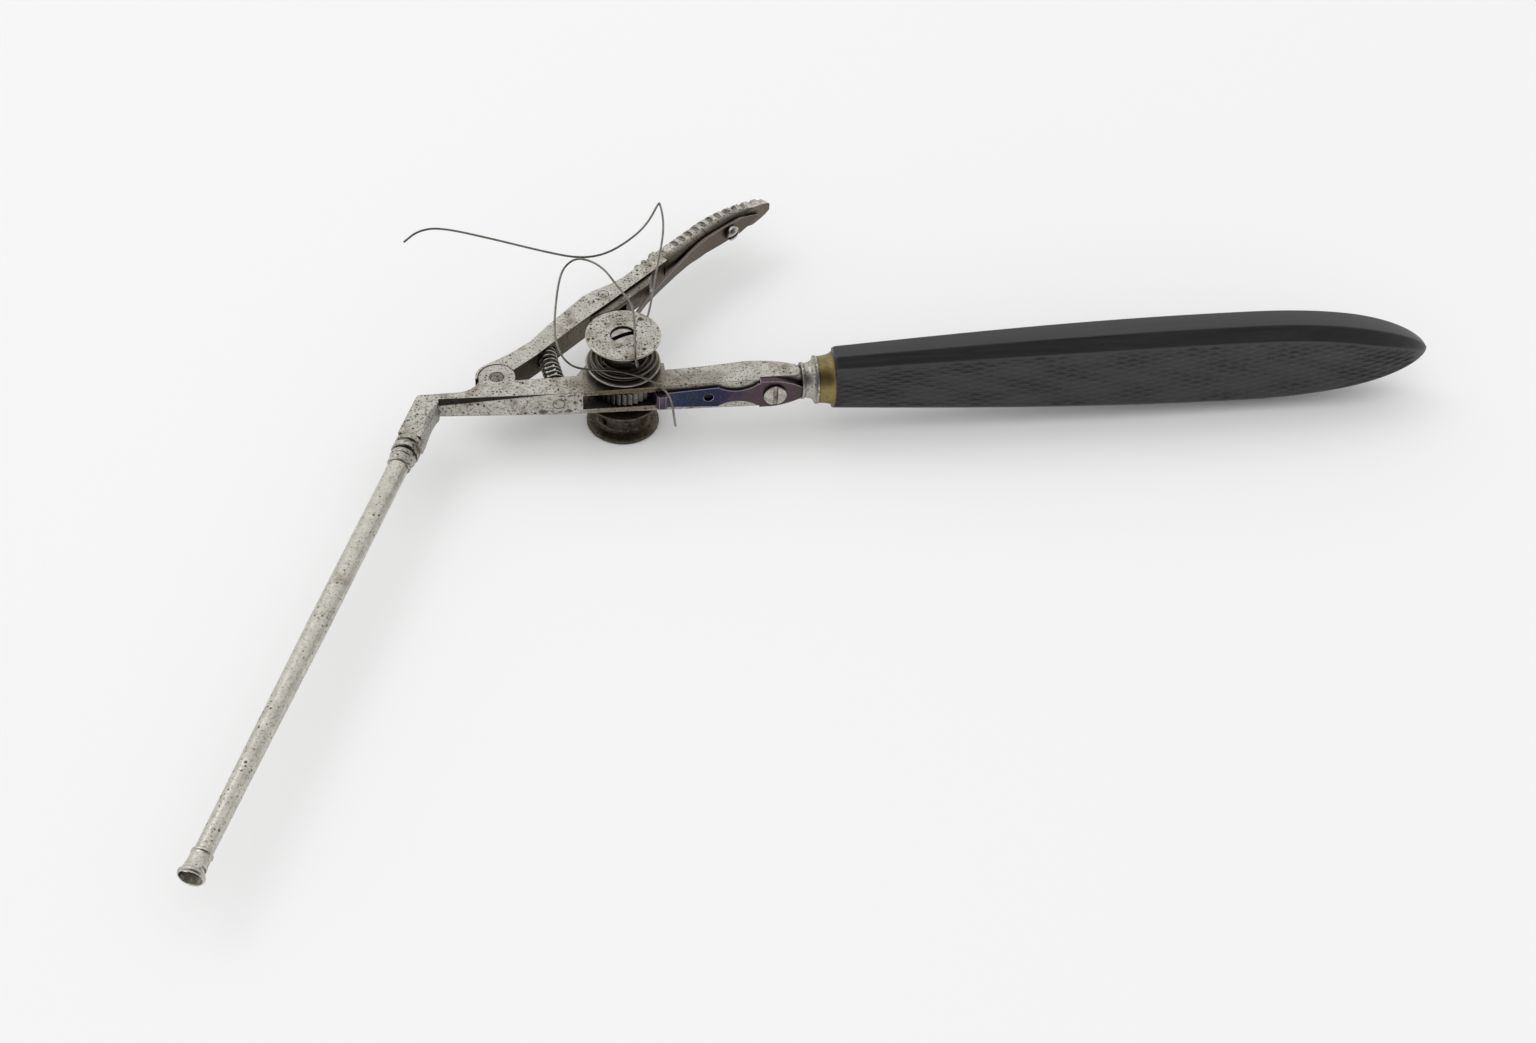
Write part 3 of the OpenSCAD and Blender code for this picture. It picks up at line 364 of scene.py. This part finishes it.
def slotted_screw():
    """A domed head built from chords that run along its slot."""
    low_corner, high_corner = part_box("reel_screw")
    r = (high_corner[0] - low_corner[0]) / 2 / MM + 0.08
    low = high_corner[2] / MM - AXLE_H - HEAD_H
    half, edge_r = SLOT_WIDE / 2, 0.995 * r
    rows = [(-edge_r + (edge_r - half) * i / CHORDS, False) for i in range(CHORDS + 1)]
    rows += [(-half, True), (half, True)] + [(-d, cut) for d, cut in reversed(rows)]
    turned = math.radians(SLOT_TURNED)
    verts = []
    for d, cut in rows:
        run = math.sqrt(max(0, r * r - d * d))
        for k in range(CHORD_STEPS + 1):
            t = run * math.sin(math.pi / 2 * (2 * k / CHORD_STEPS - 1))
            z = low + RIM_H * 0.1 if cut else low + RIM_H + DOME_H * (1 - (d * d + t * t) / (r * r))
            verts.append(place(t * math.cos(turned) - d * math.sin(turned),
                               t * math.sin(turned) + d * math.cos(turned), z))
    n, per_row = CHORD_STEPS, CHORD_STEPS + 1
    faces = [(i * per_row + k, i * per_row + k + 1, (i + 1) * per_row + k + 1, (i + 1) * per_row + k)
             for i in range(len(rows) - 1) for k in range(n)]
    last = (len(rows) - 1) * per_row
    edge = list(range(per_row)) + [i * per_row + n for i in range(1, len(rows))]
    edge += [last + k for k in range(n - 1, -1, -1)] + [i * per_row for i in range(len(rows) - 2, 0, -1)]
    base, count = len(verts), len(edge)
    verts += [Vector((verts[e].x, verts[e].y, (low + AXLE_H) * MM)) for e in edge]
    faces += [(edge[j], base + j, base + (j + 1) % count, edge[(j + 1) % count]) for j in range(count)]
    faces.append(tuple(base + j for j in range(count)))
    return solid("slotted_reel_screw", verts, faces, "reel_body", "worn_nickel", "reel_screw")


reel_screw = slotted_screw()


# Materials
def linear(hexcode):
    """sRGB hex to linear colour."""
    parts = [int(hexcode[i:i + 2], 16) / 255 for i in (1, 3, 5)]
    return (*[c / 12.92 if c <= 0.04045 else ((c + 0.055) / 1.055) ** 2.4 for c in parts], 1)


def add(tree, kind, inputs=(), stops=(), **settings):
    """Adds a shader node. Its inputs, by name or number, are values, hex colours, sockets or nodes, where a
    node gives its first output in use. stops are a colour ramp's (place, hex colour) pairs, and settings the
    node's properties."""
    node = tree.nodes.new("ShaderNode" + kind)
    for key, value in settings.items():
        setattr(node, key, value)
    for key, value in dict(inputs).items():
        if isinstance(value, bpy.types.Node):
            value = next(output for output in value.outputs if output.enabled)
        if isinstance(value, bpy.types.NodeSocket):
            tree.links.new(value, node.inputs[key])
        else:
            node.inputs[key].default_value = linear(value) if isinstance(value, str) else value
    for i, (where, colour) in enumerate(stops):
        marks = node.color_ramp.elements
        mark = marks[i] if i < len(marks) else marks.new(where)
        mark.position = where
        mark.color = linear(colour)
    return node


def start(name, **fixed):
    """A new material with its shader, the fixed values on the shader's own sockets, and mm coordinates."""
    material = bpy.data.materials.new(name)
    material.use_nodes = True
    tree = material.node_tree
    tree.nodes.clear()
    shader = add(tree, "BsdfPrincipled", {key.replace("_", " "): value for key, value in fixed.items()})
    add(tree, "OutputMaterial", {"Surface": shader})
    spot = add(tree, "TexCoord").outputs["Object"]
    mm = add(tree, "VectorMath", {0: spot, 1: (1000, 1000, 1000)}, operation="MULTIPLY")
    return material, tree, shader, mm


def finish_with(tree, shader, colour, roughness, bump):
    for key, node in (("Base Color", colour), ("Roughness", roughness), ("Normal", bump)):
        tree.links.new(next(output for output in node.outputs if output.enabled), shader.inputs[key])


def facing(tree, way):
    """How far the flat of the piece faces a direction, 1 where it looks straight along it."""
    flat = add(tree, "TexCoord").outputs["Normal"]
    return add(tree, "VectorMath", {0: flat, 1: way}, operation="DOT_PRODUCT")


def pits_of(tree, mm, size, share, cluster):
    """Round pits of many widths, about size mm apart, in a share of the places, wider where cluster is high."""
    cells = add(tree, "TexVoronoi", {"Vector": mm, "Scale": 1 / size, "Randomness": 1.0})
    chance = add(tree, "SeparateColor", {0: cells.outputs["Color"]})
    width = add(tree, "MapRange", {0: chance, 1: 1 - share, 2: 1.25 - share, 3: -0.05, 4: 0.38})
    width = add(tree, "Math", {0: width, 1: cluster}, operation="MULTIPLY")
    inside = add(tree, "Math", {0: width, 1: cells.outputs["Distance"]}, operation="SUBTRACT")
    return add(tree, "MapRange", {0: inside, 1: 0.0, 2: 0.12})


def ragged_patch(tree, mm, grain, body, centre, radii, colour, amount):
    """Covers the colour by a ragged patch round centre, which reaches radii mm along x, y and z: a stain, and in
    some lists painted shade.
    """
    x, y, z = centre
    away = add(tree, "VectorMath", {0: mm, 1: (x, y, z + AXLE_H)}, operation="SUBTRACT")
    scaled = add(tree, "VectorMath", {0: away, 1: radii}, operation="DIVIDE")
    off = add(tree, "VectorMath", {0: scaled}, operation="LENGTH")
    ragged = add(tree, "MapRange", {0: grain, 1: 0.3, 2: 0.7, 3: -0.3, 4: 0.3})
    off = add(tree, "Math", {0: off, 1: ragged}, operation="ADD")
    cover = add(tree, "MapRange", {0: off, 1: 1.1, 2: 0.7, 3: 0, 4: amount})
    return add(tree, "Mix", {0: cover, 6: body, 7: colour}, data_type="RGBA")


def pitted_metal(name, light, mid, pit, rust, rough=0.36, share=0.72, rust_at=0.6, depth=0.05, patch=2.2,
                 worn=None, worn_by=0.18, seam_shade_and_dirt=0.85, shelter_shade_and_dirt=0.8, seam=0.9, seam_at=(0.35, 0.92), front_shade=0.0,
                 bevel=0.0, stains_and_shade=()):
    """Old bare metal: clouds patch mm across, round pits in clusters, specks, brown rust spots, dirt and painted
    shade where other parts stand close, and blacker dirt and painted shade in seams narrower than seam mm. Where
    worn is a colour, the edges are rounded by worn_by mm and take it: rubbed wear where it is lighter, painted
    shade where it is darker. front_shade browns the faces towards -y as painted shade, and bevel paints the
    filed bevels there dark as a painted reflection of the dark near side. Scales are per mm: grain 0.2 mm apart,
    specks
    0.4 mm and crowds of pits 6 mm."""
    material, tree, shader, mm = start(name, Metallic=1.0)
    cloud = add(tree, "TexNoise", {"Vector": mm, "Scale": 1 / patch, "Detail": 3.0, "Roughness": 0.6})
    grain = add(tree, "TexNoise", {"Vector": mm, "Scale": 4.5, "Detail": 3.0, "Roughness": 0.7})
    crowd = add(tree, "TexNoise", {"Vector": mm, "Scale": 0.16, "Detail": 2.0, "Roughness": 0.5})
    specks = add(tree, "TexNoise", {"Vector": mm, "Scale": 2.6, "Detail": 2.0, "Roughness": 0.7})

    clouded = add(tree, "MapRange", {0: cloud, 1: 0.35, 2: 0.65, 3: 0.1, 4: 0.75})
    body = add(tree, "Mix", {0: clouded, 6: light, 7: mid}, data_type="RGBA")
    grained = add(tree, "MapRange", {0: grain, 1: 0.44, 2: 0.6, 3: 0.0, 4: 0.6})
    body = add(tree, "Mix", {0: grained, 6: body, 7: mid}, data_type="RGBA")
    rust_zone = add(tree, "MapRange", {0: crowd, 1: rust_at - 0.08, 2: rust_at + 0.06})
    rust_cloud = add(tree, "MapRange", {0: cloud, 1: 0.42, 2: 0.62, 3: 0, 4: 0.7})
    rusted = add(tree, "Math", {0: rust_zone, 1: rust_cloud}, operation="MULTIPLY")
    body = add(tree, "Mix", {0: rusted, 6: body, 7: rust}, data_type="RGBA")

    crowded = add(tree, "MapRange", {0: crowd, 1: 0.36, 2: 0.6, 3: 0.62, 4: 1.0})
    pitted = add(tree, "MapRange", {0: specks, 1: 0.53, 2: 0.64, 3: 0, 4: share})
    for size, part in ((1.7, 0.3), (0.9, 0.6), (0.6, 0.8)):
        pits = pits_of(tree, mm, size, part * share, crowded)
        pitted = add(tree, "Math", {0: pitted, 1: pits}, operation="MAXIMUM")
    shown = add(tree, "MapRange", {0: pitted, 1: 0, 2: 1, 3: 0, 4: 0.9})
    body = add(tree, "Mix", {0: shown, 6: body, 7: pit}, data_type="RGBA")

    # Edge colour: rubbed wear where it is lighter, painted shade along the edges where it is darker (the bar)
    if worn:
        flat = add(tree, "NewGeometry").outputs["Normal"]
        eased_edge = add(tree, "Bevel", {0: worn_by * MM}, samples=6)
        turned = add(tree, "VectorMath", {0: flat, 1: eased_edge}, operation="DOT_PRODUCT")
        edge_wear_and_shade = add(tree, "MapRange", {0: turned, 1: 0.985, 2: 0.9, 3: 0, 4: 0.75})
        body = add(tree, "Mix", {0: edge_wear_and_shade, 6: body, 7: worn}, data_type="RGBA")
    # Painted shade: the faces towards -y are browned
    if front_shade:
        front = add(tree, "MapRange", {0: facing(tree, (0, -1, 0)), 1: 0.1, 2: 0.5, 3: 0, 4: front_shade})
        body = add(tree, "Mix", {0: front, 6: body, 7: "#574d3b"}, data_type="RGBA")
    # Painted reflection: the filed bevels facing the near side, left of the slot, are painted dark
    for up in (-0.71, 0.71) if bevel else ():
        slope = add(tree, "MapRange", {0: facing(tree, (0, -0.71, up)), 1: 0.95, 2: 0.99, 3: 0, 4: bevel})
        left_of_slot = add(tree, "MapRange", {0: add(tree, "SeparateXYZ", {0: mm}), 1: -7, 2: -9})
        mask = add(tree, "Math", {0: slope, 1: left_of_slot}, operation="MULTIPLY")
        body = add(tree, "Mix", {0: mask, 6: body, 7: "#37322d"}, data_type="RGBA")
    for tone_patch in stains_and_shade:
        body = ragged_patch(tree, mm, grain, body, *tone_patch)
    # Painted shade with dirt: darker where other parts stand within 6 mm, blacker in seams narrower than seam mm
    for reach, low, high, amount, dark_tone in ((6, 0.3, 0.95, shelter_shade_and_dirt, "#4b4236"),
                                           (seam, *seam_at, seam_shade_and_dirt, "#231d17")):
        openness = add(tree, "AmbientOcclusion", {"Distance": reach * MM}, samples=8).outputs["AO"]
        darkened = add(tree, "MapRange", {0: openness, 1: low, 2: high, 3: amount, 4: 0})
        body = add(tree, "Mix", {0: darkened, 6: body, 7: dark_tone}, data_type="RGBA")

    gloss = add(tree, "MapRange", {0: grain, 1: 0.3, 2: 0.7, 3: rough - 0.06, 4: rough + 0.1})
    dull = add(tree, "MapRange", {0: pitted, 1: 0, 2: 1, 3: 0, 4: 0.22})
    gloss = add(tree, "Math", {0: gloss, 1: dull}, operation="ADD")
    height = add(tree, "MapRange", {0: grain, 1: 0.0, 2: 1.0, 3: 0.0, 4: 0.25})
    height = add(tree, "Math", {0: height, 1: pitted}, operation="SUBTRACT")
    base = {"Normal": eased_edge} if worn else {}
    bump = add(tree, "Bump", {"Height": height, "Strength": 0.6, "Distance": depth * MM, **base})
    finish_with(tree, shader, body, gloss, bump)
    return material


# Forged steel, once polished: the eye sees a warm light grey skin eaten by small dark pits in clusters
STEEL = ("#d0cdc5", "#a29f95", "#3a342c", "#77664f")  # skin, clouds, pits and rust
forged_steel = pitted_metal("forged_steel_pitted", *STEEL, worn="#c9c4bb")

# Stains and painted shade: the middle and the reach along x, y and z in mm, the colour, and how fully it covers
BAR_STAINS_AND_SHADE = (
    ((0, BAR_Y, 3), (10.5, 5, 3), "#6a5d49", 0.6),  # old oil round the reel
    ((13, -4.4, 3), (5, 2.4, 2.5), "#5f5446", 0.45),
    ((0.5, BAR_FRONT, 2.1), (9.5, 0.9, 0.55), "#503c24", 0.75),  # along both lips of the slot
    ((0.5, BAR_FRONT, -2.1), (9, 0.9, 0.6), "#5d4b34", 0.65),
    ((-14.9, BAR_FRONT, -1.7), (0.8, 1, 0.6), "#4c4745", 0.85),  # three small marks left of the slot
    ((-10.3, BAR_FRONT, -1.8), (0.9, 1, 0.45), "#4f4a45", 0.8),
    ((-9.2, BAR_FRONT, 0.1), (0.4, 1, 0.4), "#57503f", 0.8),
    ((15, BAR_FRONT, -0.3), (1.6, 3, 1.7), "#0c0a08", 1.0))  # painted shadow: black behind the holding spring's hole
LEVER_STEP_DARKENING = tuple(((x, y, 1.9), (4.2, 3.6, 0.28), "#5a5040", 0.75)  # darker along the step of the lever's front
                     for x, y in ((-5.5, 14.8), (0, 18.3), (5.5, 23)))
REEL_SHADE = (((0, 0, 4), (13, 13, 3.9), "#5a5142", 0.8),)  # painted shade on the reel below its bright face

# The same forging, oil baked brown round the reel and slot; painted shade darkens its edges and spring hole
bar_steel = pitted_metal("forged_steel_bar_stained_and_shaded", *STEEL, worn="#8f887e", worn_by=0.24, bevel=0.8,
                         seam_shade_and_dirt=0.7, seam=0.6, stains_and_shade=BAR_STAINS_AND_SHADE)
# The lever, brighter on top, its faces towards -y browned by painted shade
lever_steel = pitted_metal("forged_steel_lever", "#d4d1c9", "#aaa79d", *STEEL[2:], worn="#dad7cf", front_shade=0.85,
                           seam_shade_and_dirt=0.95, seam_at=(0.79, 0.99), stains_and_shade=LEVER_STEP_DARKENING)
# The upper reel, turned from the same steel, darker below its bright face by painted shade
reel_steel = pitted_metal("turned_steel_upper_reel", *STEEL, share=0.85, stains_and_shade=REEL_SHADE)
# Edges of the forging, rubbed bright by hands
rubbed_edge = pitted_metal("forged_steel_rubbed_edge", "#cfcbc3", "#b3aea4", "#5b544a", "#7d6045", rough=0.3,
                           share=0.25)
# End of the hinge pin, riveted over and stained: a darker disc let into the bright metal
riveted_end = pitted_metal("riveted_steel_end", "#8a867f", "#67635c", "#3b362f", "#5c4d3b", rough=0.42)
# Painted shadow line round a pin that is riveted in, with dirt held in the seam
pin_seam_shade_and_dirt = pitted_metal("pin_seam_shade_and_dirt_brown", "#3a342d", "#2b2620", "#1c1814", "#3c2c1f", rough=0.6)
# Nickel plate worn thin on a rolled tube: paler and smoother than the bar, lightly streaked
nickel_plate = pitted_metal("nickel_plate_worn", "#d6d3ca", "#b6b2a7", "#5d5648", "#8a7a60", rough=0.3,
                            share=0.5, rust_at=0.68, depth=0.02, patch=2.4, seam_shade_and_dirt=0.7, shelter_shade_and_dirt=0.4)
# Turned steel reel with old stain: dark olive brown and dull
stained_steel = pitted_metal("turned_steel_stained", "#7d7767", "#514b40", "#262119", "#6b5432", rough=0.42,
                             share=0.9, patch=1.4)
# Hardened steel under old oil: dark and dull, for the pawl, wheel and axle
oiled_steel = pitted_metal("hardened_steel_oiled", "#7f7d79", "#5d5a55", "#322f2c", "#54402d", rough=0.38)
# Screws turned and polished: the brightest metal here
polished_screw = pitted_metal("screw_steel_polished", "#cdcac3", "#a39e94", "#403a32", "#66543a", rough=0.24,
                              share=0.4, depth=0.02, patch=1.2)
# Brass cast and turned, gone olive in the air
tarnished_brass = pitted_metal("turned_brass_tarnished", "#9c8f60", "#7b6f46", "#4d4530", "#5b4d2c",
                               rough=0.4, share=0.3)
# Steel wire drawn bright: smooth, with a soft shine along it
drawn_wire = pitted_metal("drawn_steel_wire", "#8f8c86", "#67635d", "#3d3934", "#5a4a36", rough=0.3,
                          share=0.3, depth=0.01, patch=1.5)
# Music wire of the coil spring: bright outside, with dirt and painted shade between its turns
coil_wire = pitted_metal("coil_spring_wire", "#d2d0c9", "#a5a096", "#3f3a32", "#66543a", rough=0.26,
                         share=0.3, depth=0.01, patch=1.5, seam_shade_and_dirt=1.0, shelter_shade_and_dirt=0.6, seam=2.2)


def tempered(name, *tints):
    """Spring steel coloured by heat: the oxide runs from tint to tint along the blade, with a waver 2 mm long,
    over a grind 0.3 mm apart."""
    material, tree, shader, mm = start(name, Metallic=1.0)
    waver = add(tree, "TexNoise", {"Vector": mm, "Scale": 0.5, "Detail": 3.0})
    waver = add(tree, "MapRange", {0: waver, 1: 0.3, 2: 0.7, 3: -1.5, 4: 1.5})
    run = add(tree, "Math", {0: add(tree, "SeparateXYZ", {0: mm}), 1: waver}, operation="ADD")
    run = add(tree, "MapRange", {0: run, 1: 4, 2: 34})
    tint = add(tree, "ValToRGB", {0: run}, stops=tints)
    grain = add(tree, "TexNoise", {"Vector": mm, "Scale": 3.0, "Detail": 4.0, "Roughness": 0.7})
    dull = add(tree, "MapRange", {0: grain, 1: 0.5, 2: 0.75, 3: 0, 4: 0.5})
    tint = add(tree, "Mix", {0: dull, 6: tint, 7: "#6b625a"}, data_type="RGBA")
    gloss = add(tree, "MapRange", {0: grain, 1: 0.3, 2: 0.7, 3: 0.28, 4: 0.44})
    bump = add(tree, "Bump", {"Height": grain, "Strength": 0.3, "Distance": 0.02 * MM})
    finish_with(tree, shader, tint, gloss, bump)
    return material


# Spring steel blued by heat: blue by the hole, violet brown towards both ends
blued_spring = tempered("spring_steel_blued", (0.0, "#62545a"), (0.1, "#463e4d"), (0.17, "#2d3450"),
                        (0.38, "#293049"), (0.47, "#3d3449"), (0.6, "#51434b"), (0.85, "#53454a"),
                        (1.0, "#4a3d3f"))
# The blade's edges, where the blue is rubbed to pale lilac
blued_edge = tempered("spring_steel_blued_edge", (0.0, "#a08f98"), (0.2, "#a9a7b8"), (0.4, "#a5a2ba"),
                      (0.6, "#b0a5a5"), (1.0, "#b3a9a2"))
# Spring steel let down to a warm brown, for the leaf under the lever
brown_spring = tempered("spring_steel_brown", (0.0, "#5e564e"), (0.5, "#61574c"), (1.0, "#564e45"))


def ebony_waxed():
    """Ebony, sawn, filed and waxed: near black, with a slight sheen, faint grain in lines 0.7 mm apart and
    17 mm long, and pale dust in specks of 0.4 mm."""
    material, tree, shader, mm = start("ebony_waxed", IOR=1.5)
    long_way = add(tree, "VectorMath", {0: mm, 1: (0.06, 1.4, 1.4)}, operation="MULTIPLY")
    grain = add(tree, "TexNoise", {"Vector": long_way, "Scale": 1.0, "Detail": 5.0, "Roughness": 0.65})
    cloud = add(tree, "TexNoise", {"Vector": mm, "Scale": 0.12, "Detail": 3.0})
    dust = add(tree, "TexNoise", {"Vector": mm, "Scale": 2.6, "Detail": 4.0, "Roughness": 0.75})
    streaks = add(tree, "MapRange", {0: grain, 1: 0.35, 2: 0.7})
    body = add(tree, "Mix", {0: streaks, 6: "#1d1c1d", 7: "#2b292a"}, data_type="RGBA")
    faded = add(tree, "MapRange", {0: cloud, 1: 0.4, 2: 0.65, 3: 0, 4: 0.4})
    body = add(tree, "Mix", {0: faded, 6: body, 7: "#242222"}, data_type="RGBA")
    dusty = add(tree, "MapRange", {0: dust, 1: 0.62, 2: 0.78, 3: 0, 4: 0.5})
    body = add(tree, "Mix", {0: dusty, 6: body, 7: "#5a5856"}, data_type="RGBA")
    gloss = add(tree, "MapRange", {0: dust, 1: 0.3, 2: 0.7, 3: 0.3, 4: 0.46})
    bump = add(tree, "Bump", {"Height": grain, "Strength": 0.25, "Distance": 0.04 * MM})
    finish_with(tree, shader, body, gloss, bump)
    return material


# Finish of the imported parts
def soften(part, width):
    """Breaks a machined part's sharp edges by width in mm; a broken edge takes the part's second material."""
    weld = part.modifiers.new("weld", "WELD")
    weld.merge_threshold = 0.002 * MM
    bevel = part.modifiers.new("broken_edges", "BEVEL")
    bevel.width = width * MM
    bevel.segments = 2
    bevel.limit_method = "ANGLE"
    bevel.angle_limit = math.radians(32)
    bevel.use_clamp_overlap = False
    bevel.miter_outer = "MITER_ARC"
    bevel.material = 1
    shade = part.modifiers.new("even_shading", "WEIGHTED_NORMAL")
    shade.weight = 50


def dress(node, main, edge, width):
    part = nodes[node]
    part.data.materials.clear()
    part.data.materials.append(main)
    part.data.materials.append(edge)
    if width:
        soften(part, width)


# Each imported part's material, the one on its broken edges, and their width in mm
FINISHES = (
    ("frame", bar_steel, bar_steel, 0),
    ("lever", lever_steel, lever_steel, 0),
    ("upper_reel", reel_steel, rubbed_edge, 0.06),
    ("lower_reel", stained_steel, stained_steel, 0.06),
    ("brass_collar", tarnished_brass, tarnished_brass, 0.08),
    ("tube_tip", nickel_plate, nickel_plate, 0.06),
    ("tube_collar", forged_steel, rubbed_edge, 0.06),
    ("hinge_pin", riveted_end, pin_seam_shade_and_dirt, 0.1),
    ("pawl_pin", forged_steel, pin_seam_shade_and_dirt, 0.1),
    ("spring_post", forged_steel, pin_seam_shade_and_dirt, 0.1),
    ("drive_pawl", oiled_steel, oiled_steel, 0.06),
    ("axle", oiled_steel, oiled_steel, 0.05),
    ("ratchet_wheel", oiled_steel, polished_screw, 0.04),
    ("lever_spring", brown_spring, blued_edge, 0.05),
    ("hold_spring", blued_spring, blued_edge, 0.09),
    ("hold_screw", polished_screw, polished_screw, 0.06),
    ("lever_spring_screw", polished_screw, polished_screw, 0.05))
for finish in FINISHES:
    dress(*finish)
for piece, material in ((handle, ebony_waxed()), (tube, nickel_plate), (reel_screw, polished_screw),
                        (long_tail, drawn_wire), (loop_tail, drawn_wire), (turns, drawn_wire),
                        (coil, coil_wire)):
    piece.data.materials.append(material)


# Floor and light
def pale_floor():
    """White paper sweep: its colour is near white and it keeps the object's shadow."""
    half, low = 3, -1e-5  # metres
    mesh = bpy.data.meshes.new("floor")
    mesh.from_pydata([(-half, -half, low), (half, -half, low), (half, half, low), (-half, half, low)], [],
                     [(0, 1, 2, 3)])
    floor = bpy.data.objects.new("floor", mesh)
    bpy.context.scene.collection.objects.link(floor)
    paper = start("white_paper_sweep", Base_Color="#ededed", Roughness=0.9, Specular_IOR_Level=0.1)[0]
    mesh.materials.append(paper)


def lamp(name, spot, size, watts, aim=(0, 0, 0)):
    light = bpy.data.lights.new(name, "AREA")
    light.shape = "DISK"
    light.size = size
    light.energy = watts
    holder = bpy.data.objects.new(name, light)
    holder.location = spot
    holder.rotation_mode = "QUATERNION"
    holder.rotation_quaternion = (Vector(aim) - Vector(spot)).to_track_quat("-Z", "Y")
    bpy.context.scene.collection.objects.link(holder)


def soft_room():
    """A white studio under a broad ceiling light. What metal mirrors is brightest beyond the object and
    overhead, with a dark doorway high on the near side and a pale skirting round the horizon."""
    world = bpy.data.worlds.new("soft_room")
    world.use_nodes = True
    tree = world.node_tree
    tree.nodes.clear()
    spot = add(tree, "TexCoord").outputs["Generated"]
    above, far, near = (add(tree, "VectorMath", {0: spot, 1: way}, operation="DOT_PRODUCT")
                        for way in ((-0.08, -0.3, 0.95), (-0.12, 0.93, 0.34), (0.14, -0.71, 0.69)))
    ceiling = add(tree, "MapRange", {0: above, 1: 0.0, 2: 1.0, 3: 0.34, 4: 1.42})
    walls = add(tree, "ValToRGB", {0: add(tree, "MapRange", {0: far, 1: -1, 2: 1})},
                stops=((0.0, "#a8a8a8"), (0.3, "#8a8a8a"), (0.5, "#b4b4b4"), (0.65, "#ececec"),
                       (0.85, "#ffffff"), (1.0, "#ffffff")))
    doorway = add(tree, "MapRange", {0: near, 1: 0.55, 2: 0.85})
    walls = add(tree, "Mix", {0: doorway, 6: walls, 7: "#1a1a1a"}, data_type="RGBA")
    height = add(tree, "SeparateXYZ", {0: spot}).outputs[2]
    skirting = add(tree, "MapRange", {0: height, 1: 0.17, 2: 0.07})
    walls = add(tree, "Mix", {0: skirting, 6: walls, 7: "#f0f0f0"}, data_type="RGBA")
    rays = add(tree, "LightPath").outputs
    seen = add(tree, "Math", {0: rays["Is Glossy Ray"], 1: rays["Is Transmission Ray"]}, operation="MAXIMUM")
    seen = add(tree, "Math", {0: seen, 1: rays["Is Camera Ray"]}, operation="MAXIMUM")
    lit_room = add(tree, "Background", {0: (1, 1, 1, 1), 1: ceiling})
    seen_room = add(tree, "Background", {0: walls, 1: 1.0})
    add(tree, "OutputWorld", {0: add(tree, "MixShader", {0: seen, 1: lit_room, 2: seen_room})})
    bpy.context.scene.world = world


pale_floor()
soft_room()
lamp("window_upper_left", (-0.4, 0.35, 0.8), 0.5, 0.7)
bpy.context.scene.view_settings.view_transform = "Standard"
